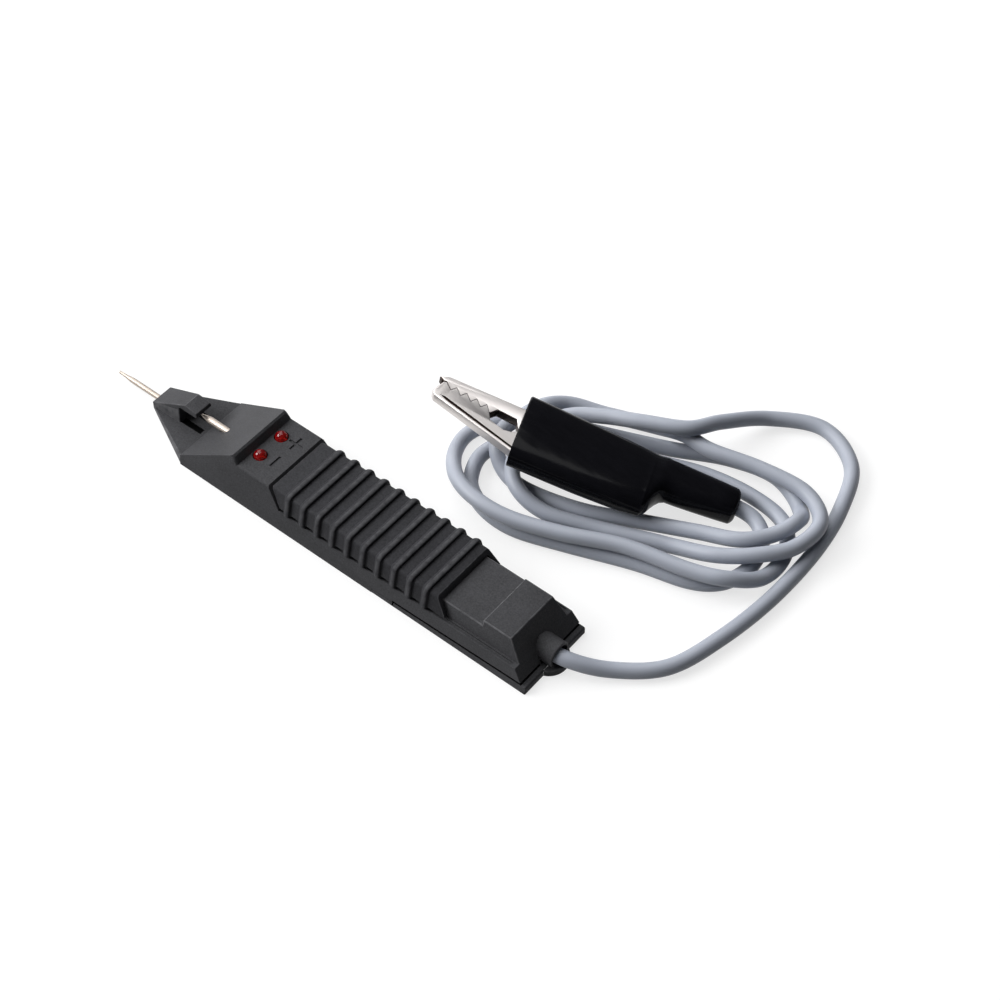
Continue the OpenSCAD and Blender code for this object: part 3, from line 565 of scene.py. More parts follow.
def sweptTree():
    tree, start, end = shapeTree("sweptRound", [("Radius", "Float"), ("Sides", "Int"), ("Step", "Float"),
        ("Floor", "Float")])
    line = add(tree, "GeometryNodeMeshToCurve", Mesh=start.outputs["Geometry"])
    spline = add(tree, "GeometryNodeCurveSplineType", {"spline_type": "CATMULL_ROM"}, Curve=line.outputs[0])
    smooth = add(tree, "GeometryNodeSetSplineResolution", Geometry=spline.outputs[0], Resolution=18)
    fine = add(tree, "GeometryNodeResampleCurve", {"mode": "LENGTH"}, Curve=smooth.outputs[0],
        Length=start.outputs["Step"])
    where = add(tree, "GeometryNodeInputPosition")
    xyz = add(tree, "ShaderNodeSeparateXYZ", Vector=where.outputs[0])
    high = add(tree, "ShaderNodeMath", {"operation": "MAXIMUM"}, in0=xyz.outputs[2],
        in1=start.outputs["Floor"])
    back = add(tree, "ShaderNodeCombineXYZ", X=xyz.outputs[0], Y=xyz.outputs[1], Z=high.outputs[0])
    laid = add(tree, "GeometryNodeSetPosition", Geometry=fine.outputs[0], Position=back.outputs[0])
    capLine = tree.nodes.new("GeometryNodeCaptureAttribute")
    capLine.capture_items.new("FLOAT", "run")
    tree.links.new(laid.outputs[0], capLine.inputs[0])
    tree.links.new(add(tree, "GeometryNodeSplineParameter").outputs["Length"], capLine.inputs[1])
    ring = add(tree, "GeometryNodeCurvePrimitiveCircle", Resolution=start.outputs["Sides"],
        Radius=start.outputs["Radius"])
    capRing = tree.nodes.new("GeometryNodeCaptureAttribute")
    capRing.capture_items.new("VECTOR", "round")
    tree.links.new(ring.outputs[0], capRing.inputs[0])
    tree.links.new(where.outputs[0], capRing.inputs[1])
    skin = add(tree, "GeometryNodeCurveToMesh", Curve=capLine.outputs[0], Profile_Curve=capRing.outputs[0],
        Fill_Caps=True)
    flat = add(tree, "ShaderNodeSeparateXYZ", Vector=capRing.outputs[1])
    own = add(tree, "ShaderNodeCombineXYZ", X=flat.outputs[0], Y=flat.outputs[1], Z=capLine.outputs[1])
    kept = add(tree, "GeometryNodeStoreNamedAttribute", {"data_type": "FLOAT_VECTOR", "domain": "POINT"},
        Geometry=skin.outputs[0], Name="alongLead", Value=own.outputs[0])
    shade = add(tree, "GeometryNodeSetShadeSmooth", Geometry=kept.outputs[0])
    endTree(tree, start, end, shade.outputs[0])
    return tree


def swept(name, points, radius, sides, step, material, floor=-1.0):
    return runTree(pathObject(name, points), sweptRound, Radius=radius, Sides=sides, Step=step, Floor=floor,
        Material=material)


sweptRound = sweptTree()
leadPath = [Vector([c * mm for c in p]) for p in leadRoute]
lead = swept("lead", leadPath, leadSet["diameter"] / 2, leadSet["sides"], leadSet["step"], leadJacket,
    leadSet["floor"])
standsFor(lead, "tester", "cable")


# housing: the outside skins get rounded edges, then the CAD's own solid is cut to them
housingSet = {
    "round": 0.28, "segments": 2, "skin": 0.012, "hookRound": 0.2,
    "shoulder": {"round": 0.6, "segments": 4, "foot": 9.5, "inside": 7.0},
    "bodyWidth": 20.0, "draft": 0.137, "coreWidth": 15.7, "coreDraft": 0.22, "ledge": 5.5,
    "hookHalf": 2.85, "hookTaper": 0.7, "hookFoot": 3, "hookRise": 6,
    "gland": {"from": 102, "end": 111.7, "radius": 2.95, "height": 3.8},
    "body": [(15, 0), (70, 0), (70, 1.08), (109.5, 2.05), (107.5, 5.5), (43.9, 5.5), (40.72, 10.8),
        (31.9, 10.8), (31.5, 11.6), (31, 12.5), (30.5, 12.8), (15, 2.65)],
    "core": [(41.9, 4.5), (108.1, 4.5), (104.5, 10.5), (97.4, 10.5), (97.4, 9.15), (41.9, 9.15)],
    "hook": [(0, 1.5), (0, 3.4), (10.125, 8.8), (13.5, 8.3), (13.5, 7), (8.5, 7), (8.2, 6.7), (8.2, 1.5)],
    # half width, height: below, above
    "nose": {"end": 15, "front": (2.85, 1.5, 2.85, 2.1), "rear": (10, 0, 9.64, 2.65)},
    "pocket": {"profile": [(7.9, 1.45), (14.6, 1.45), (14.6, 1.9), (7.9, 1.9)], "across": (0.8, 2.8)},
    "notch": {"along": (8.1, 14.3), "across": (0.95, 2.75), "top": 2.6, "ledge": 2.2},
    "well": {"at": 33.7, "row": 3.3, "radius": 1.88, "foot": 9.9, "top": 14},
    "seam": {"at": 70, "height": 1.0, "rise": 0.97, "run": 39.5},
    "gap": {"height": 0.55, "front": 75.6, "rear": 110.5, "across": (9.35, 10.6), "deep": 2.9},
    "rearGap": {"front": 108.9, "rear": 110.7, "low": 0.1, "high": 0.53, "across": (3.5, 10.7)},
}


def bodySide(z):
    return housingSet["bodyWidth"] / 2 - housingSet["draft"] * z


def coreSide(z):
    return housingSet["coreWidth"] / 2 - housingSet["coreDraft"] * (z - housingSet["ledge"])


def hookSide(z):
    s = housingSet
    return s["hookHalf"] - s["hookTaper"] * max(0, z - s["hookFoot"]) / s["hookRise"]


def seamAt(x):
    s = housingSet["seam"]
    return s["height"] + (x - s["at"]) * s["rise"] / s["run"]


def grownOutline(points, by):
    # an outline with every edge moved outwards
    area = sum(a[0] * b[1] - b[0] * a[1] for a, b in zip(points, points[1:] + points[:1]))
    side = 1 if area > 0 else -1
    out = []
    for i in range(len(points)):
        p, q, r = [Vector(points[j]) for j in (i - 1, i, (i + 1) % len(points))]
        d1, d2 = (q - p).normalized(), (r - q).normalized()
        n1, n2 = Vector((d1.y, -d1.x)) * side, Vector((d2.y, -d2.x)) * side
        mid = n1 + n2
        mid = mid / max(mid.dot(n1), 0.3)
        out.append((q.x + mid.x * by, q.y + mid.y * by))
    return out


def roundEdges(bm, rounding, segments, skip=None, sharp=12.0):
    picked = [e for e in bm.edges if len(e.link_faces) == 2 and e.calc_face_angle(0) > math.radians(sharp)
        and not (skip and skip((e.verts[0].co + e.verts[1].co) / 2))]
    bmesh.ops.bevel(bm, geom=picked, offset=rounding * mm, offset_type="OFFSET", segments=segments,
        profile=0.5, affect="EDGES", clamp_overlap=True, material=1)


def roundedPrism(name, profile, sideAt, rounding, segments, grow=0.0, skip=None, shoulder=None):
    # a side view of (length, height) points as wide as sideAt says, its edges rounded into material slot 1
    pts = grownOutline(profile, grow)
    bm = skinMesh([[atNose(x, side * (sideAt(z) + grow), z) for x, z in pts] for side in (-1, 1)])
    skips = [skip] if skip else []
    if shoulder:  # the top edges are rounder than the rest
        foot, inside = shoulder["foot"], shoulder["inside"] * mm
        roundEdges(bm, shoulder["round"], shoulder["segments"],
            lambda c: c.z < foot * mm or abs(c.y) < inside)
        skips.append(lambda c: c.z > (foot - 0.3) * mm and abs(c.y) > inside)
    roundEdges(bm, rounding, segments, lambda c: any(test(c) for test in skips))
    return bmObject(name, bm)


def nodeCopy(name, node):
    # a welded copy of a CAD node, to be worked on
    bm = opened(nodes[node].data)
    bmesh.ops.remove_doubles(bm, verts=bm.verts, dist=1e-6)
    bmesh.ops.dissolve_limit(bm, angle_limit=math.radians(0.4), verts=bm.verts, edges=bm.edges)
    return bmObject(name, bm)


def boolean(obj, tool, operation, crossing=False):
    mod = obj.modifiers.new("cut", "BOOLEAN")
    mod.operation = operation
    mod.solver = "EXACT"
    mod.use_self = crossing
    mod.object = tool
    plain(obj)
    bpy.data.objects.remove(tool)
    return obj


def cutTo(obj, skins, material):
    # keeps what lies inside the skins; their rounded faces come back in the second slot, marked as edges
    # painted lighter, partly for wear and partly as a painted highlight
    for o in [obj] + skins:
        o.data.materials.clear()
        for slot in range(2):
            o.data.materials.append(material)
    for p in obj.data.polygons:
        p.material_index = 0
    boolean(obj, joined("skins", skins), "INTERSECT", crossing=True)
    return markWearAndHighlight(obj, material)


def markWearAndHighlight(obj, material):
    values = [p.material_index % 2 for p in obj.data.polygons]
    return mark(paint(obj, material), "rubbed", values)


def slab(name, profile, side, across):
    # a side view of (length, height) points, from one width to the other on one side
    return bmObject(name, skinMesh([[atNose(x, side * y, z) for x, z in profile] for y in across]))


def markPaintedShade(obj, s):
    # faces inside the shadow gap and inside the notch get the mark for painted shade, which paints them
    # near black
    gap, notch = s["gap"], s["notch"]
    values = []
    for p in obj.data.polygons:
        x, y, z = p.center.x / mm + noseToMiddle, abs(p.center.y) / mm, p.center.z / mm
        covered = y > gap["deep"] and (y < bodySide(z) - 0.04 or p.normal.z < -0.5)
        inGap = covered and x > gap["front"] - 0.1 and z < seamAt(x) + gap["height"] + 0.02
        beside = notch["along"][0] < x < notch["along"][1] and notch["across"][0] < y < notch["across"][1]
        inNotch = beside and z < notch["top"] and not (p.normal.z > 0.5 and z > notch["ledge"])
        values.append(float(inGap or inNotch))
    return mark(obj, "deepSeam", values)


def noseWedge(g, rounding, segments):
    # the flat nose ahead of the ramp, grown by g
    s = housingSet["nose"]
    rings = []
    for x, (low, z0, high, z1) in ((-g, s["front"]), (s["end"] + 0.1, s["rear"])):
        corners = ((-low - g, z0 - g), (low + g, z0 - g), (high + g, z1 + g), (-high - g, z1 + g))
        rings.append([atNose(x, y, z) for y, z in corners])
    bm = skinMesh(rings)
    roundEdges(bm, rounding, segments, lambda c: c.x > atNose(s["end"], 0, 0).x)
    return bmObject("noseSkin", bm)


def glandSkin(name, chamfer, steps):
    s, g = housingSet["gland"], housingSet["skin"]
    e, r = s["end"], s["radius"]
    profile = [(s["from"], 0), (s["from"], r + g), (e - chamfer, r + g), (e + g, r - chamfer), (e + g, 0)]
    return placed(turned(name, profile, steps), lying(s["height"]))


def buildHousing(s):
    g, r, k = s["skin"], s["round"], s["segments"]
    noseEnd = atNose(s["nose"]["end"] + 0.02, 0, 0).x
    body = roundedPrism("bodySkin", s["body"], bodySide, r, k, g, lambda c: c.x < noseEnd, s["shoulder"])
    core = roundedPrism("coreSkin", s["core"], coreSide, r, k, g)
    hook = roundedPrism("hookSkin", s["hook"], hookSide, s["hookRound"], k, g, lambda c: c.z < 1.6 * mm)
    nose = noseWedge(g, r, k)
    made = nodeCopy("upperHousing", "upper_housing")
    well, gap, rear = s["well"], s["gap"], s["rearGap"]
    a, b, r = well["foot"], well["top"], well["radius"]
    wellShape = [(a, 0), (a, r), (b, r), (b, 0)]
    a, b, h = gap["front"], gap["rear"], gap["height"]
    flank = [(a, seamAt(a)), (b, seamAt(b)), (b, seamAt(b) + h), (a, seamAt(a) + h)]
    a, b, low, high = rear["front"], rear["rear"], rear["low"], rear["high"]
    back = [(a, seamAt(a) - low), (b, seamAt(b) - low), (b, seamAt(b) + high), (a, seamAt(a) + high)]
    for side in (-1, 1):
        # the notch behind the hook is closed from below
        boolean(made, slab("pocket", s["pocket"]["profile"], side, s["pocket"]["across"]), "UNION")
        # the wells that the lamps stand in
        hole = placed(turned("well", wellShape, 48), upright(well["at"], side * well["row"]))
        boolean(made, hole, "DIFFERENCE")
        # the shadow gap above the base, along the side and round the rear corner
        boolean(made, slab("flank", flank, side, gap["across"]), "DIFFERENCE")
        boolean(made, slab("back", back, side, rear["across"]), "DIFFERENCE")
    cutTo(made, [body, core, nose, hook, glandSkin("glandSkin", 0.2, 48)], housingPlastic)
    return tidyMesh(markPaintedShade(made, s), 1e-8, 20)


upperHousing = buildHousing(housingSet)
standsFor(upperHousing, "tester", "upper_housing")
print("housing rounded:", len(upperHousing.data.polygons), "faces")


# base cover: the rim that shows is rounded, the plate inside the walls stays as it is
baseSet = {
    "round": 0.2, "rimFront": 70.08, "rear": 110.7, "rimFrontHeight": 1.0, "rimHeight": 2.0,
    "tab": {"at": 108.9, "radius": 4.4, "height": 1.8},
    "plate": [(0.4, -0.1), (108.4, -0.1), (108.4, 4.4), (0.4, 4.4)], "inside": 8.32,
    "lip": {"end": 109.45, "across": 9.2, "low": 0.8},
    "step": {"width": 0.4, "low": 0.35, "high": 2.4},
}


def buildBase(s):
    g, k = housingSet["skin"], housingSet["segments"]
    rim = roundedPrism("rimSkin", [(s["rimFront"], 0), (s["rear"], 0), (s["rear"], s["rimHeight"] - 0.3),
        (s["rear"] - 0.3, s["rimHeight"]), (s["rimFront"], s["rimFrontHeight"])], bodySide, s["round"],
        k, g, lambda c: c.x < atNose(s["rimFront"] + 0.1, 0, 0).x)
    r, h = s["tab"]["radius"], s["tab"]["height"]
    tab = turned("tabSkin", [(-g, 0), (-g, r - 0.2), (0.2, r + g), (h - 0.25, r + g), (h + g, r - 0.25),
        (h + g, 0)], 72)
    inner = roundedPrism("plateSkin", s["plate"], lambda z: s["inside"], 0, 1)
    made = nodeCopy("baseCover", "base_cover")
    a, b, low, high = housingSet["gap"]["front"], s["step"]["width"], s["step"]["low"], s["step"]["high"]
    step = [(a, low), (a + b, low), (a + b, high), (a, high)]
    for side in (-1, 1):
        boolean(made, slab("step", step, side, housingSet["gap"]["across"]), "DIFFERENCE")
    cutTo(made, [rim, placed(tab, upright(s["tab"]["at"])), glandSkin("ringSkin", 0.15, 56), inner],
        housingPlastic)
    lipShade(made, s)
    return tidyMesh(made, 1e-8, 20)


def lipShade(obj, s):
    # painted shade: the lip's top is painted dark as far as the housing covers it, and so is the step at
    # the gap's front end
    lip, front, width = s["lip"], housingSet["gap"]["front"], s["step"]["width"]
    outer = housingSet["gap"]["across"][0] - 0.05
    bm = opened(obj.data)
    for place, across in ((atNose(lip["end"], 0, 0), (1, 0, 0)), (atNose(0, lip["across"], 0), (0, 1, 0)),
            (atNose(0, -lip["across"], 0), (0, 1, 0))):
        everything = bm.verts[:] + bm.edges[:] + bm.faces[:]
        bmesh.ops.bisect_plane(bm, geom=everything, plane_co=place, plane_no=across)
    deep = bm.faces.layers.float.new("deepSeam")
    for f in bm.faces:
        c = f.calc_center_median()
        x, y, z = c.x / mm + noseToMiddle, abs(c.y) / mm, c.z / mm
        onLip = s["rimFront"] < x < lip["end"] and z > lip["low"] and f.normal.z > 0.6
        inStep = abs(x - front - width / 2) < width / 2 + 0.01 and outer < y < bodySide(z) - 0.04
        f[deep] = float(onLip or inStep)
    closed(bm, obj.data)


baseCover = buildBase(baseSet)
standsFor(baseCover, "tester", "base_cover")
print("base rounded:", len(baseCover.data.polygons), "faces")


# thumb slide: a drawn channel, and one grip rib that is repeated along it
slideSet = {
    "front": 44.4, "length": 45.2, "lean": 0.6, "foot": 5.95, "bandFoot": 6.2, "crown": 10.6,
    "shoulder": 9.7, "skin": 1.3, "gap": 0.22, "roof": 9.37, "round": 0.16, "ribs": 10, "ribStep": 4.16,
    "ribRear": 47.0, "flankTop": 8.0, "cornerHeight": 10.45, "cornerRun": 0.75, "bendSteps": 8,
    "crownAcross": (4.0, 1.3),
    "boss": {"at": 58.4, "radius": 2.0, "foot": 7.3, "top": 10.3, "hole": 0.78, "holeTop": 9.9},
    "ribShape": [(-1.9, -0.05), (-1.72, 0.13), (-1.42, 0.41), (-1.1, 0.6), (-0.8, 0.69), (-0.45, 0.7),
        (-0.25, 0.66), (-0.1, 0.56), (-0.02, 0.4), (0.0, -0.05)],
    # the ribs' crest faces are painted lighter, partly for wear and partly as a painted highlight
    "crest": (3, 4, 5, 6), "crestWearAndHighlight": 0.7,
}


def slideHalf(s, foot):
    # one side of the slide's section, from its foot over the shoulder to the crown
    def flank(z):
        return coreSide(z) + s["skin"]

    crown = s["crown"]
    low, corner = (flank(s["shoulder"]), s["shoulder"]), (flank(s["cornerHeight"]), crown)
    top = (flank(crown) - s["cornerRun"], crown)
    bend = []
    for i in range(s["bendSteps"] + 1):
        t = i / s["bendSteps"]
        bend.append(tuple((1 - t) ** 2 * a + 2 * t * (1 - t) * b + t * t * c
            for a, b, c in zip(low, corner, top)))
    return [(flank(z), z) for z in (foot, s["flankTop"])] + bend + [(y, crown) for y in s["crownAcross"]]


def offsetLine(line, h):
    # the same open line moved outwards by h
    out = []
    for i, p in enumerate(line):
        a, b = Vector(line[max(i - 1, 0)]), Vector(line[min(i + 1, len(line) - 1)])
        d = (b - a).normalized()
        out.append((p[0] + d.y * h, p[1] - d.x * h))
    out[0] = (out[0][0], line[0][1])
    return out


def bothSides(half):
    # from the foot on +Y over the crown to the foot on -Y
    return half + [(-y, z) for y, z in reversed(half)]


def buildChannel(s):
    outer = bothSides(slideHalf(s, s["bandFoot"]))
    inside = [(coreSide(z) + s["gap"], z) for z in (s["bandFoot"], s["roof"])]
    section = outer + [(-y, z) for y, z in inside] + list(reversed(inside))
    bm = skinMesh([[atNose(end - s["lean"] * (z - housingSet["ledge"]), y, z) for y, z in section]
        for end in (s["front"], s["front"] + s["length"])])
    roundEdges(bm, s["round"], 2, None, 40)
    return markWearAndHighlight(bmObject("channel", bm), slidePlastic)


def buildRib(s):
    half = slideHalf(s, s["foot"])
    lines = [bothSides(offsetLine(half, h)) for dx, h in s["ribShape"]]
    rings = [[atNose(s["ribRear"] + dx, *line[j]) for (dx, h), line in zip(s["ribShape"], lines)]
        for j in range(len(bothSides(half)))]
    verts, faces = ringSkin(rings)
    count = len(s["ribShape"])
    last = (len(rings) - 1) * count
    crest = [s["crestWearAndHighlight"] if i < last and i % count in s["crest"] else 0.0 for i in range(len(faces))]
    return mark(meshObject("rib", verts, faces, slidePlastic), "rubbed", crest)


def ribRowTree():
    tree, start, end = shapeTree("ribRow", [("Count", "Int"), ("Step", "Float"), ("Rib", "Object")])
    step = add(tree, "ShaderNodeCombineXYZ", X=start.outputs["Step"])
    line = add(tree, "GeometryNodeMeshLine", Count=start.outputs["Count"], Offset=step.outputs[0])
    rib = add(tree, "GeometryNodeObjectInfo", Object=start.outputs["Rib"])
    row = add(tree, "GeometryNodeInstanceOnPoints", Points=line.outputs[0],
        Instance=rib.outputs["Geometry"])
    endTree(tree, start, end, bothShapes(tree, start, row.outputs[0]))
    return tree


def buildSlide(s):
    b = s["boss"]
    r, f, hole, top = b["radius"], b["foot"], b["hole"], b["holeTop"]
    boss = turned("boss", [(b["top"], 0), (b["top"], r), (f + 0.15, r), (f, r - 0.15), (f, hole),
        (top, hole), (top + 0.05, 0)], 40)
    paint(placed(boss, upright(b["at"])), slidePlastic)
    rib = buildRib(s)
    made = runTree(joined("thumbSlide", [buildChannel(s), boss]), ribRowTree(), Count=s["ribs"],
        Step=s["ribStep"] * mm, Rib=rib, Material=slidePlastic)
    bpy.data.objects.remove(rib)
    return tidyMesh(made, 1e-9, 32)


thumbSlide = buildSlide(slideSet)
standsFor(thumbSlide, "slide", "thumb_slide")
print("slide built:", len(thumbSlide.data.polygons), "faces")


# probe and needle, turned and ground
pinSet = [
    {"name": "probePin", "node": "probe_pin", "body": "tester", "tip": -13.5, "end": 27.0, "radius": 0.65,
        "height": 1.5, "cone": 4.6, "flat": 0.26},
    {"name": "piercingNeedle", "node": "piercing_needle", "body": "slide", "tip": 12.2, "end": 55.6,
        "radius": 0.8, "height": 5.7, "cone": 3.2, "flat": 0.1},
]


def buildPin(p):
    t, e, r, c, f = p["tip"], p["end"], p["radius"], p["cone"], p["flat"]
    shape = [(t, 0), (t, f * 0.7), (t + 0.06, f), (t + 0.25, f * 1.25), (t + c * 0.5, r * 0.62),
        (t + c * 0.85, r * 0.94), (t + c, r * 0.985), (t + c + 0.5, r), (e - 0.25, r),
        (e - 0.08, r * 0.9), (e, r * 0.72), (e, 0)]
    pin = paint(placed(turned(p["name"], shape, 36), lying(p["height"])), pinSteel)
    standsFor(tidyMesh(pin, 1e-9, 28), p["body"], p["node"])


for pinSizes in pinSet:
    buildPin(pinSizes)


# screws: turned blanks with a cross recess, and a rolled thread swept round each shank
coverSize = {"foot": 0.3, "head": 1.1, "headRadius": 1.9, "radius": 1.0, "top": 6.0, "turns": 9}
carrierSize = {"foot": 4.7, "head": 0.9, "headRadius": 1.5, "radius": 0.8, "top": 9.5, "turns": 7}
crossSet = {"above": -0.5, "depth": 0.5, "slot": 0.4, "reach": 1.3, "turns": (20, 110)}
screwSet = [
    ("coverScrewLeft", "tester", "cover_screw_left", coverSize, 25.5, -5.2),
    ("coverScrewRight", "tester", "cover_screw_right", coverSize, 25.5, 5.2),
    ("coverScrewRear", "tester", "cover_screw_rear", coverSize, 88.4, 0.0),
    ("carrierScrew", "slide", "carrier_screw", carrierSize, 58.4, 0.0),
]


def threadTree():
    tree, start, end = shapeTree("rolledThread", [("Radius", "Float"), ("Turns", "Float"),
        ("Length", "Float"), ("Ridge", "Float"), ("Place", "Vector")])
    helix = add(tree, "GeometryNodeCurveSpiral", Resolution=28, Rotations=start.outputs["Turns"],
        Start_Radius=start.outputs["Radius"], End_Radius=start.outputs["Radius"],
        Height=start.outputs["Length"])
    ridge = add(tree, "GeometryNodeCurvePrimitiveCircle", Resolution=4, Radius=start.outputs["Ridge"])
    thread = add(tree, "GeometryNodeCurveToMesh", Curve=helix.outputs[0], Profile_Curve=ridge.outputs[0],
        Fill_Caps=True)
    moved = add(tree, "GeometryNodeTransform", Geometry=thread.outputs[0],
        Translation=start.outputs["Place"])
    endTree(tree, start, end, bothShapes(tree, start, moved.outputs[0]))
    return tree


def crossTool(x, y, foot, radius, c):
    # two tapered wedges crossed, pointing into the head
    a, b = c["reach"] * radius, c["slot"] / 2
    ends = ((a, b, c["above"]), (a * 0.55, c["slot"] * 0.3, c["depth"]))
    rings = [[Vector((i * p, j * q, z)) * mm for i, j in ((-1, -1), (1, -1), (1, 1), (-1, 1))]
        for p, q, z in ends]
    at = Matrix.Translation(atNose(x, y, foot))
    return [placed(bmObject("bar", skinMesh(rings)), at @ Matrix.Rotation(math.radians(turn), 4, "Z"))
        for turn in c["turns"]]


def buildScrew(name, s, x, y):
    f, h, hr, r, t = s["foot"], s["head"], s["headRadius"], s["radius"], s["top"]
    core = r * 0.8
    shape = [(f, 0), (f, hr - 0.45), (f + 0.06, hr - 0.2), (f + 0.22, hr), (f + h - 0.06, hr),
        (f + h, hr - 0.06), (f + h, core + 0.1), (f + h + 0.1, core), (t - 0.9, core), (t - 0.05, 0.12),
        (t, 0)]
    blank = placed(turned(name, shape, 44), upright(x, y))
    for bar in crossTool(x, y, f, r, crossSet):
        boolean(blank, bar, "DIFFERENCE")
    z0 = f + h + 0.25
    made = runTree(paint(blank, screwZinc), rolledThread, Radius=core * mm, Turns=float(s["turns"]),
        Length=(t - 1.1 - z0) * mm, Ridge=(r - core) * mm, Place=tuple(atNose(x, y, z0)),
        Material=screwZinc)
    return tidyMesh(made, 1e-9, 30)


rolledThread = threadTree()
for name, body, node, size, x, y in screwSet:
    standsFor(buildScrew(name, size, x, y), body, node)
print("pins and screws turned")


# return spring: open coils between two closed ends
springSet = {"front": 64.4, "rear": 79.4, "height": 5.85, "radius": 1.4, "wire": 0.4, "turns": 9,
    "closed": 1.0, "perTurn": 20}


def springPoints(s):
    first, last = s["front"] + s["wire"] / 2 + 0.02, s["rear"] - s["wire"] / 2 - 0.02
    shut = s["closed"] * s["wire"] * 1.02
    points = []
    total = int(s["turns"] * s["perTurn"])
    for i in range(total + 1):
        turn = i / s["perTurn"]
        if turn < s["closed"]:
            x = first + shut * turn / s["closed"]
        elif turn > s["turns"] - s["closed"]:
            x = last - shut * (s["turns"] - turn) / s["closed"]
        else:
            share = (turn - s["closed"]) / (s["turns"] - 2 * s["closed"])
            x = first + shut + share * (last - first - 2 * shut)
        a = 2 * math.pi * turn
        points.append(atNose(x, s["radius"] * math.cos(a), s["height"] + s["radius"] * math.sin(a)))
    return points


returnSpring = tidyMesh(swept("returnSpring", springPoints(springSet), springSet["wire"] / 2 * mm, 10,
    0.00035, springSteel), 1e-9, 60)
standsFor(returnSpring, "tester", "return_spring")
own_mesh(returnSpring)
print("spring wound:", len(returnSpring.data.polygons), "faces")


# lamps: a clear red dome over a cup, a chip and two legs
lampSizes = {
    "at": 33.7, "pitch": 6.6, "radius": 1.46, "flange": 1.9, "foot": 8.1, "flangeTop": 9.05,
    "domeFoot": 10.5, "dome": 1.5, "legFoot": 3.6, "leg": 0.21, "legGap": 0.8,
}


def buildLamp(name, side, s):
    r, f, foot, top, dome = s["radius"], s["flange"], s["foot"], s["flangeTop"], s["domeFoot"]
    arc = [(dome + s["dome"] * math.sin(a), r * math.cos(a))
        for a in [math.radians(7.5 * i) for i in range(12)]]
    shell = turned("shell", [(foot, 0), (foot, f - 0.06), (foot + 0.06, f), (top - 0.1, f), (top, f - 0.1),
        (top + 0.02, r)] + arc + [(dome + s["dome"], 0)], 56)
    cup = turned("cup", [(9.2, 0), (9.2, 0.35), (9.35, 0.42), (9.75, 0.62), (9.75, 0.55), (9.5, 0.3),
        (9.5, 0)], 28)
    chip = turned("chip", [(9.52, 0), (9.52, 0.16), (9.66, 0.16), (9.66, 0)], 4)
    legs = []
    low, wide = s["legFoot"], s["leg"]
    for dx, top in ((-s["legGap"], 9.4), (s["legGap"], 9.9)):
        leg = turned("leg", [(low, 0), (low, wide * 0.8), (low + 0.1, wide), (top - 0.05, wide),
            (top, wide * 0.7), (top, 0)], 12)
        legs.append(placed(leg, Matrix.Translation((0, 0, -dx * mm))))
    paint(shell, lampResin)
    for o in [cup, chip] + legs:
        paint(o, tinnedWire)
    return tidyMesh(placed(joined(name, [shell, cup, chip] + legs),
        upright(s["at"], side * s["pitch"] / 2)), 1e-9, 34)


for name, node, side in (("lampPlus", "led_plus", 1), ("lampMinus", "led_minus", -1)):
    standsFor(buildLamp(name, side, lampSizes), "tester", node)
print("lamps built")


# board parts: lacquered bodies on bent wires
resistorLacquer = bandedFinish("resistorLacquer", (0.60, 0.44, 0.26, 1),
    [(-0.6, 0.07, (0.25, 0.06, 0.02, 1)), (-0.3, 0.07, (0.02, 0.02, 0.02, 1)),
    (0.0, 0.07, (0.55, 0.05, 0.03, 1)), (0.6, 0.07, (0.55, 0.4, 0.1, 1))],
    centre=(49.0 - noseToMiddle) * mm, span=2.3 * mm)
diodeLacquer = bandedFinish("diodeLacquer", (0.02, 0.02, 0.022, 1), [(0.62, 0.14, (0.62, 0.62, 0.60, 1))],
    centre=(59.0 - noseToMiddle) * mm, span=1.7 * mm)
boardSet = {"top": 3.6, "wire": 0.25, "row": 4.4}
resistorSize = {"at": 49.0, "length": 4.6, "radius": 0.9, "caps": True, "lacquer": resistorLacquer,
    "slot": "resistor"}
diodeSize = {"at": 59.0, "length": 3.4, "radius": 0.8, "caps": False, "lacquer": diodeLacquer,
    "slot": "diode"}


def buildAxial(name, s, row):
    x, half, r, foot = s["at"], s["length"] / 2, s["radius"], boardSet["top"]
    z = foot + r + 0.1
    side = [(half - 0.12, r), (half, 0.7 * r), (half, 0)]
    if s["caps"]:  # swollen ends
        side = [(half - 1.25, 0.86 * r), (half - 0.9, r), (half - 0.35, r), (half - 0.1, 0.7 * r),
            (half, 0.3), (half, 0)]
    body = paint(placed(turned("body", mirrored(side), 32), Matrix.Translation(atNose(x, row, z))),
        s["lacquer"])
    out = half + 0.9
    bend = [(out - 0.35, z), (out - 0.1, z - 0.1), (out, z - 0.35), (out, foot)]
    line = [(x - a, b) for a, b in reversed(bend)] + [(x + a, b) for a, b in bend]
    wire = swept("wire", [atNose(a, row, b) for a, b in line], boardSet["wire"] * mm, 12, 0.0002,
        tinnedWire)
    return tidyMesh(joined(name, [body, wire]), 1e-9, 34)


for name, node, size, side in (("resistorLeft", "resistor_left", resistorSize, -1),
        ("resistorRight", "resistor_right", resistorSize, 1), ("diodeBody", "diode", diodeSize, -1)):
    standsFor(buildAxial(name, size, side * boardSet["row"]), "tester", node)


# inner lead, from the clamp past the rear screw to the board
innerSet = {
    "radius": 0.6, "height": 3.8, "clamp": 98.5, "screw": 88.4, "springEnd": 79.4, "boardEnd": 66.0,
    "row": 4.4,
}


def innerPoints(s):
    run = s["clamp"] - s["screw"]
    return [atNose(*p) for p in ((s["clamp"] + 1.1, 0, s["height"]),
        (s["screw"] + 0.8 * run, 0.4, s["height"]), (s["screw"] + 0.5 * run, 3, 3.2),
        (s["screw"] + 0.16 * run, 4.3, 2.5), (s["springEnd"] - 1.4, s["row"], 2.4),
        (s["boardEnd"] + 5, s["row"], 3), (s["boardEnd"] + 2, s["row"], 4.25),
        (s["boardEnd"] - 2.5, s["row"], 4.25))]


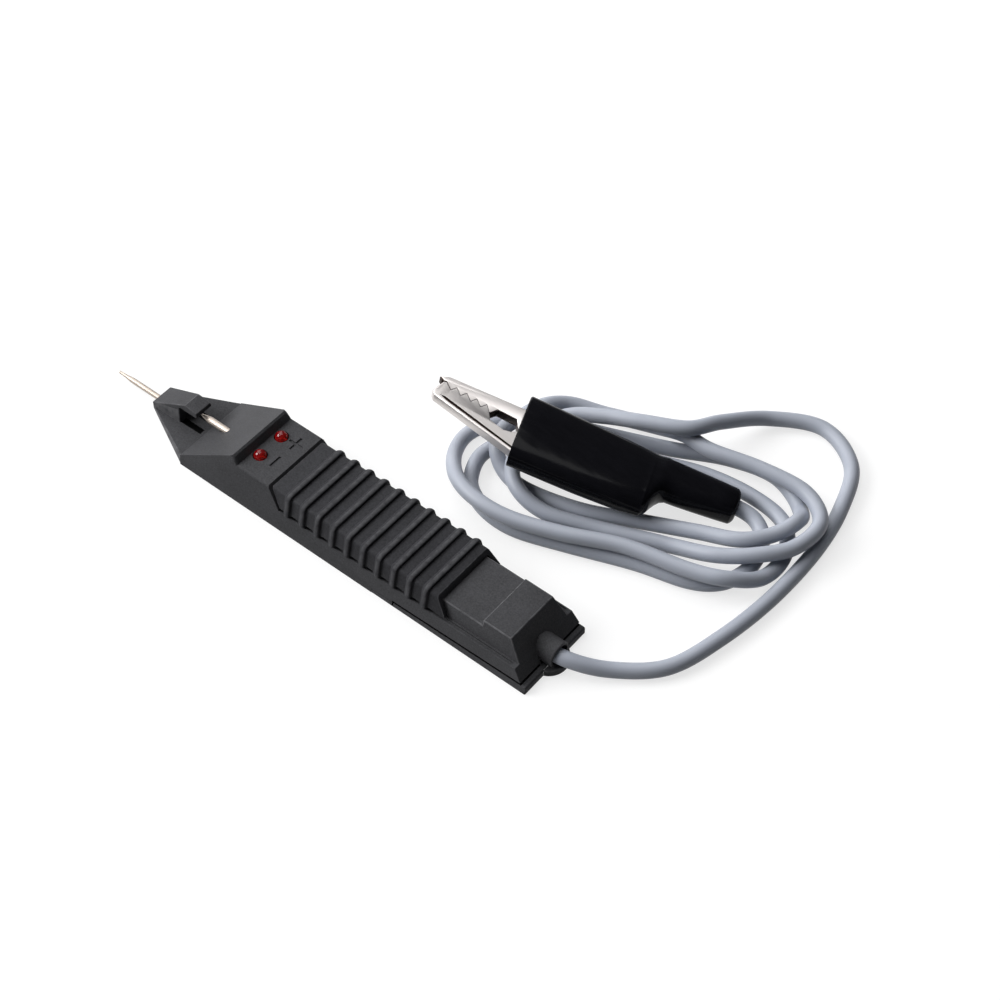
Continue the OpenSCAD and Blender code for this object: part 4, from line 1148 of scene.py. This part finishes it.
innerLead = swept("innerLead", innerPoints(innerSet), innerSet["radius"] * mm, 16, 0.0005, innerJacket)
standsFor(innerLead, "tester", "inner_lead")
print("board parts and inner lead built")


# crocodile clip: x from the sleeve's tail towards the jaws, y towards the moving jaw; inClip turns y round
clipSet = {
    "tail": (67.8, 53.7, 3.4), "yaw": 202, "rise": -10, "shift": 0.6, "half": 2.1, "innerHalf": 1.4,
    "sheet": 0.6, "thin": 0.58, "lift": 1.0, "turn": 1.2, "bend": 0.4, "edge": 0.07, "skin": 0.012,
    "teeth": 5, "toothStep": 2.45, "pivot": 44.0, "rivet": 1.0,
    "slot": {"off": 0.55, "width": 0.5, "depth": 0.45, "from": -4.2, "to": 16.9},
    "coil": {"radius": 1.5, "first": 120, "each": 15, "count": 64},
}
foldFoot, foldAlong, foldAcross = Vector((51.8, -5.93)), Vector((0.9405, 0.3396)), Vector((-0.3396, 0.9405))
clipAt = (Matrix.Translation(Vector(clipSet["tail"]) * mm)
    @ Matrix.Rotation(math.radians(clipSet["yaw"]), 4, "Z")
    @ Matrix.Rotation(math.radians(clipSet["rise"]), 4, "Y"))
inClip = clipAt @ Matrix.Translation((0, clipSet["shift"] * mm, 0)) @ Matrix.Scale(-1, 4, (0, 1, 0))
pivotAt = Matrix.Translation((clipSet["pivot"] * mm, 0, 0))
# real sheet is slimmer than the solids
slimmed = (inClip @ Matrix.Translation((0, 0, clipSet["lift"] * mm)) @ pivotAt
    @ Matrix.Rotation(math.radians(clipSet["turn"]), 4, "Z") @ pivotAt.inverted()
    @ Matrix.Scale(clipSet["thin"], 4, (0, 0, 1)) @ inClip.inverted())


def toothLine(gap):
    line = []
    for i in range(clipSet["teeth"]):
        run = clipSet["toothStep"] * i
        line.append((57.3 + run, 2.45 + 0.2 * run + gap))
        if i < clipSet["teeth"] - 1:
            line.append((58.35 + run, 1.25 + 0.2 * run + gap))
    return line


def clipRings(outline, low, high):
    return [[inClip @ Vector((x * mm, y * mm, z * mm)) for x, y in outline] for z in (low, high)]


def sheetSkin(name, outline, half, spine=(), edge=0.05):
    # a block of the jaw's outline; the edges along the spine are bent round, the others only broken
    n, by = len(outline), clipSet["skin"]
    bm = skinMesh(clipRings(grownOutline(outline, by), -half - by, half + by))
    if spine:
        bm.verts.ensure_lookup_table()
        bent = [bm.edges.get((bm.verts[row + a], bm.verts[row + b]))
            for row in (0, n) for a, b in zip(spine[:-1], spine[1:])]
        bmesh.ops.bevel(bm, geom=bent, offset=clipSet["bend"] * mm, offset_type="OFFSET", segments=6,
            profile=0.5, affect="EDGES", clamp_overlap=True, material=0)
    roundEdges(bm, edge, 1, None, 32)
    return bmObject(name, bm)


def clipBlock(name, outline, low, high):
    # a plain block of an outline between two heights in the clip's frame, for joining or cutting
    return bmObject(name, skinMesh(clipRings(outline, low, high)))


def markJawGrimeAndShade(obj, outward):
    # the cut edges between the jaws are dark with thin plating and grime; the line along the fold is
    # painted dark, as painted shade inside the groove
    tidyMesh(obj, 1e-8, 30)
    toScene = slimmed @ inClip
    across, deep = [(toScene.to_3x3() @ Vector(v)).normalized() for v in ((0, outward, 0), (0, 0, 1))]
    g, rim = clipSet["slot"], (clipSet["half"] - 0.3) * mm
    dark = []
    for p in obj.data.polygons:
        spot = toScene.inverted() @ p.center
        off = (spot.xy / mm - foldFoot).dot(foldAcross)
        # painted shade along the fold, where the groove opens into the dark inside of the jaw
        inFold = outward < 0 and g["off"] - 0.02 < off < g["off"] + g["width"] + 0.22
        facing = abs(p.normal.dot(deep))
        cutEdge = facing < 0.85 and p.normal.dot(across) < 0.35
        dark.append(float(cutEdge or inFold and (facing < 0.6 or abs(spot.z) < rim)))
    return mark(obj, "cutEdge", dark)


def buildFixedJaw(s):
    outline = ([(24, 3.3), (24, 4.5), (49.2, 4.9), (66.9, 6.1), (69, 5.4), (67.9, 4.6)]
        + list(reversed(toothLine(0.1))) + [(56.1, 0.7), (54.75, 2.2), (50.2, 1.56), (49.5, 0),
        (48.4, -2.2), (46, -3.4), (42, -3.4), (40.2, -1.8), (40.2, 1), (38, 3)])
    skin = sheetSkin("fixedSkin", outline, s["half"], (1, 2, 3, 4, 5), s["edge"])
    tongue = sheetSkin("tongueSkin", [(24.2, 4.5), (24.2, 3.7), (20.4, 2.4), (12, 2.4), (12, 3.0),
        (20.2, 3.0)], 1.2)
    made = cutTo(nodeCopy("clipFixedJaw", "clip_fixed_jaw"), [skin, tongue], clipNickel)
    return markJawGrimeAndShade(placed(made, slimmed), 1)


def buildMovingJaw(s):
    outline = [(56.1, 0.3)] + toothLine(-0.1) + [(67.8, 4.3), (69.2, 1.1), (68.5, 0.1), (48.4, -7.16),
        (48.4, -2.6), (49.0, -1.5), (50.3, -2.3), (52.0, -2.48), (55.4, -1.15)]
    n = len(outline)
    skin = sheetSkin("movingSkin", outline, s["half"], (n - 9, n - 8, n - 7, n - 6), s["edge"])
    inner = sheetSkin("innerSkin", [(52.6, -2.4), (51.2, -2.7), (48.6, -1.2), (47.2, 1.8), (44, 3),
        (41.4, 1.8), (40, -3.5), (34, -5.6), (22, -6.2), (22, -7), (38, -7.3), (47, -7.3), (52, -5.86),
        (52.6, -5.6)], s["innerHalf"])
    band = sheetSkin("bandSkin", [(22, -7), (33, -7.2), (33, -6.6), (22, -6.4)], 2.2)
    tip = clipBlock("tip", [(68.5, 0.1), (69.2, 1.1), (68.2, 3.4), (67.7, 3.2), (68.6, 1.15), (68.1, 0.5)],
        -s["half"] + 0.3, s["half"] - 0.3)
    h, w = s["half"], s["sheet"]
    # the sheet runs on into the sleeve
    ear = [(52.8, -1.5), (52.0, -2.4), (48.3, -0.5), (48.3, -7.3), (52.8, -5.7)]
    fold = [(52.8, -5.7), (48.3, -7.32), (48.3, -6.6), (52.8, -5.0)]
    run = [clipBlock("ear", ear, h - w, h + 0.1), clipBlock("ear", ear, -h - 0.1, w - h),
        clipBlock("fold", fold, -h, h)]
    raw = joined("clipMovingJaw", [nodeCopy("jawCopy", "clip_moving_jaw"), tip] + run)
    cutTo(raw, [skin, inner, band], clipNickel)
    g = s["slot"]
    corners = [foldFoot + foldAlong * a + foldAcross * b for a, b in (
        (g["from"], g["off"]), (g["to"] - 2, g["off"]), (g["to"], g["off"] + 0.35),
        (g["to"] - 1.2, g["off"] + g["width"] + 0.2), (g["from"], g["off"] + g["width"]))]
    boolean(raw, clipBlock("groove", corners, s["half"] - g["depth"], s["half"] + 0.5), "DIFFERENCE")
    return markJawGrimeAndShade(placed(raw, slimmed), -1)


clipFixedJaw = buildFixedJaw(clipSet)
standsFor(clipFixedJaw, "tester", "clip_fixed_jaw")
clipMovingJaw = buildMovingJaw(clipSet)
standsFor(clipMovingJaw, "jaw", "clip_moving_jaw")
print("clip jaws shaped:", len(clipFixedJaw.data.polygons), len(clipMovingJaw.data.polygons), "faces")


def buildRivet(s):
    h, r = s["half"], s["rivet"]
    side = [(h, r), (h, 1.8), (h + 0.12, 1.78), (h + 0.32, 1.6), (h + 0.44, 1.25), (h + 0.5, 0.75),
        (h + 0.46, 0.35), (h + 0.4, 0)]
    rivet = placed(turned("clipRivet", mirrored(side), 40), slimmed @ inClip @ pivotAt @ alongZ)
    return tidyMesh(paint(rivet, screwZinc), 1e-9, 34)


def clipSpringPoints(s):
    c = s["coil"]
    coil = []
    for i in range(c["count"] + 1):
        a = math.radians(c["first"] - c["each"] * i)
        coil.append((c["radius"] * math.cos(a), c["radius"] * math.sin(a), -0.5 + i / c["count"]))
    line = [(-11, 3.65, -0.5), (-6, 3, -0.5)] + coil + [(-6, -4.6, 0.5), (-11, -6.35, 0.5)]
    return [slimmed @ inClip @ Vector(((s["pivot"] + x) * mm, y * mm, z * mm)) for x, y, z in line]


def buildFerrule():
    # crimped tube: pinched twice, with a rolled edge
    tube = turned("clipFerrule", [(11.2, 0.9), (11.2, 1.7), (11.3, 1.8), (12.4, 1.8), (12.9, 1.62),
        (13.4, 1.62), (13.9, 1.8), (15.2, 1.8), (15.7, 1.62), (16.2, 1.62), (16.7, 1.8), (17.9, 1.8),
        (18.0, 1.7), (18.0, 0.9), (11.2, 0.9)], 40)
    return tidyMesh(paint(placed(tube, clipAt), tinnedWire), 1e-7, 34)


clipRivet = buildRivet(clipSet)
clipSpring = swept("clipSpring", clipSpringPoints(clipSet), 0.2 * mm, 12, 0.0003, springSteel)
clipFerrule = buildFerrule()
for piece, node in ((clipRivet, "clip_rivet"), (clipSpring, "clip_spring"), (clipFerrule, "clip_ferrule")):
    standsFor(piece, "tester", node)


# soft sleeve: a loft of rounded sections, hollow, with a moulded crease at the shoulder
sleeveSet = {
    "height": 8.6, "wall": 0.8, "around": 96, "bore": 1.85, "insideHalf": 3.5, "hollow": 15.5,
    "sections": [  # (x, y, half width, half height, squareness)
        (0.9, 0.0, 3.92, 3.2, 2.6), (4.0, -0.07, 4.12, 3.3, 2.7), (9.0, -0.2, 4.44, 3.5, 2.6),
        (13.0, -0.3, 4.7, 3.66, 2.5), (15.0, -0.35, 4.86, 3.75, 2.4), (16.0, -0.05, 5.2, 3.82, 2.4),
        (16.8, 0.4, 5.9, 3.9, 2.4), (17.5, 1.1, 6.6, 3.93, 2.35), (18.2, 1.9, 7.4, 3.95, 2.3),
        (18.8, 2.35, 7.85, 3.98, 2.3), (19.25, 2.55, 8.05, 4.0, 2.3), (19.4, 2.6, 8.14, 4.05, 2.3),
        (19.6, 2.6, 8.12, 4.02, 2.32), (21.0, 2.58, 8.2, 4.07, 2.55), (24.0, 2.5, 8.35, 4.15, 2.9),
        (29.0, 2.2, 8.48, 4.2, 3.2), (34.0, 1.88, 8.58, 4.25, 3.4), (40.0, 1.34, 8.72, 4.27, 3.4),
        (45.0, 0.86, 8.82, 4.29, 3.4), (48.6, 0.53, 8.89, 4.3, 3.4)],
    "slim": [(0, 0), (12, 0.2), (19, 0.9), (30, 1.3), (49, 1.6)],  # how much the underside is drawn in
    # the rounded tail, the rim round the mouth, and the closed end inside, as further sections
    "tailEnd": [(0.0, 0, 2.75, 2.35, 2.2), (0.1, 0, 3.05, 2.65, 2.3), (0.45, 0, 3.55, 2.98, 2.5)],
    "rim": [(48.85, 0.61, 0.04, 0.04), (49.0, 0.6, 0.2, 0.2), (49.0, 0.6, 0.6, 0.6),
        (48.85, 0.61, 0.77, 0.77)],
    "inner": [(15.0, -0.35, 4.05, 3.0, 2.4), (11.2, -0.1, 3.1, 2.6, 2.1), (10.8, 0, 2.9, 2.4, 2)],
}


def ovalRing(x, y, a, b, e, count):
    ring = []
    for k in range(count):
        c, s = math.cos(2 * math.pi * k / count), math.sin(2 * math.pi * k / count)
        ring.append((x, math.copysign(abs(c) ** (2 / e), c) * a + y,
            math.copysign(abs(s) ** (2 / e), s) * b))
    return ring


def drawnIn(ring, s):
    # lifts the lower half of a section by the slim line's amount at its place
    moved = []
    for x, y, z in ring:
        by = 0
        for (a0, b0), (a1, b1) in zip(s["slim"][:-1], s["slim"][1:]):
            if a0 <= x <= a1:
                by = b0 + (b1 - b0) * (x - a0) / (a1 - a0)
                break
        moved.append((x, y, z + by * max(0.0, min(1.0, 0.5 - z / s["height"]))))
    return moved


def buildSleeve(s):
    w, bore = s["wall"], s["bore"]
    x, y, a, b, e = s["sections"][-1]
    rim = [(x, y, a - da, b - db, e) for x, y, da, db in s["rim"]]
    lining = [(x, y, a - w, min(b - w, s["insideHalf"]), e) for x, y, a, b, e in reversed(s["sections"])
        if x > s["hollow"]]
    tube = [(x, 0, bore, bore, 2) for x in (10.8, 5.0, 0.0)]
    sections = [(0.0, 0, bore, bore, 2)] + s["tailEnd"] + s["sections"] + rim + lining + s["inner"] + tube
    rings = [[clipAt @ (Vector(p) * mm) for p in drawnIn(ovalRing(*sec, s["around"]), s)]
        for sec in sections]
    verts, faces = ringSkin(rings, False)
    return tidyMesh(meshObject("clipSleeve", verts, faces, sleeveVinyl), 1e-7, 33)


clipSleeve = buildSleeve(sleeveSet)
standsFor(clipSleeve, "tester", "clip_sleeve")
print("sleeve lofted:", len(clipSleeve.data.polygons), "faces")


# finishes for the CAD nodes that keep their own shape
for nodeName, finish in (("probe_contact", contactBrass), ("needle_wiper", contactBrass),
        ("circuit_board", solderMask), ("needle_carrier", carrierNylon), ("cable_clamp", housingPlastic)):
    nodes[nodeName].data.materials.clear()
    nodes[nodeName].data.materials.append(finish)


# floor, world and lamps
stageSet = {
    "floorSize": 3.0, "floorColour": (0.32, 0.32, 0.32, 1), "floorGlow": 0.72,
    "worldTint": (0.93, 0.96, 1.0, 1), "worldLevel": 0.2,
}
lampSet = [
    {"name": "softLeft", "at": (-1.25, -0.8, 1.1), "aim": (0, 0.03, 0), "size": (1.2, 0.9), "power": 34.0},
    {"name": "backCard", "at": (-1.6, 0.95, 0.4), "aim": (0, 0.03, 0), "size": (1.8, 0.75), "power": 10.0},
    {"name": "softAbove", "at": (-0.72, 0.36, 1.45), "aim": (0, 0.03, 0), "size": (1.4, 1.8),
        "power": 17.0},
]


def buildFloor(s):
    half = s["floorSize"] / 2
    mat, t, bsdf = startMaterial("floorPaper", Roughness=0.9, Specular_IOR_Level=0.0)
    bsdf.inputs["Base Color"].default_value = s["floorColour"]
    bsdf.inputs["Emission Color"].default_value = (1, 1, 1, 1)
    ray = add(t, "ShaderNodeLightPath").outputs
    seen = sums(t, "MAXIMUM", ray["Is Camera Ray"], ray["Is Glossy Ray"])
    seen = sums(t, "MAXIMUM", seen, ray["Is Transmission Ray"])
    t.links.new(sums(t, "MULTIPLY", seen, s["floorGlow"]), bsdf.inputs["Emission Strength"])
    corners = [(-half, -half, 0), (half, -half, 0), (half, half, 0), (-half, half, 0)]
    meshObject("floor", corners, [(0, 1, 2, 3)], mat)


def buildWorld(s):
    world = bpy.data.worlds.new("studio")
    bpy.context.scene.world = world
    world.use_nodes = True
    t = world.node_tree
    t.nodes.clear()
    xyz = add(t, "ShaderNodeSeparateXYZ", Vector=add(t, "ShaderNodeTexCoord").outputs["Generated"])
    side = ranged(t, xyz.outputs[0], -0.6, 0.7, To_Min=1.0, To_Max=0.08)
    sky = add(t, "ShaderNodeBackground", Color=s["worldTint"], Strength=sums(t, "MULTIPLY", side,
        s["worldLevel"]))
    add(t, "ShaderNodeOutputWorld", Surface=sky.outputs[0])


def addLamps(lamps):
    for l in lamps:
        data = bpy.data.lights.new(l["name"], "AREA")
        data.shape = "RECTANGLE"
        data.size, data.size_y = l["size"]
        data.energy = l["power"]
        lamp = linked(l["name"], data)
        lamp.location = l["at"]
        lamp.rotation_euler = (Vector(l["at"]) - Vector(l["aim"])).to_track_quat("Z", "Y").to_euler()


buildFloor(stageSet)
buildWorld(stageSet)
addLamps(lampSet)
bpy.context.scene.view_settings.view_transform = "Standard"
print("stage set")
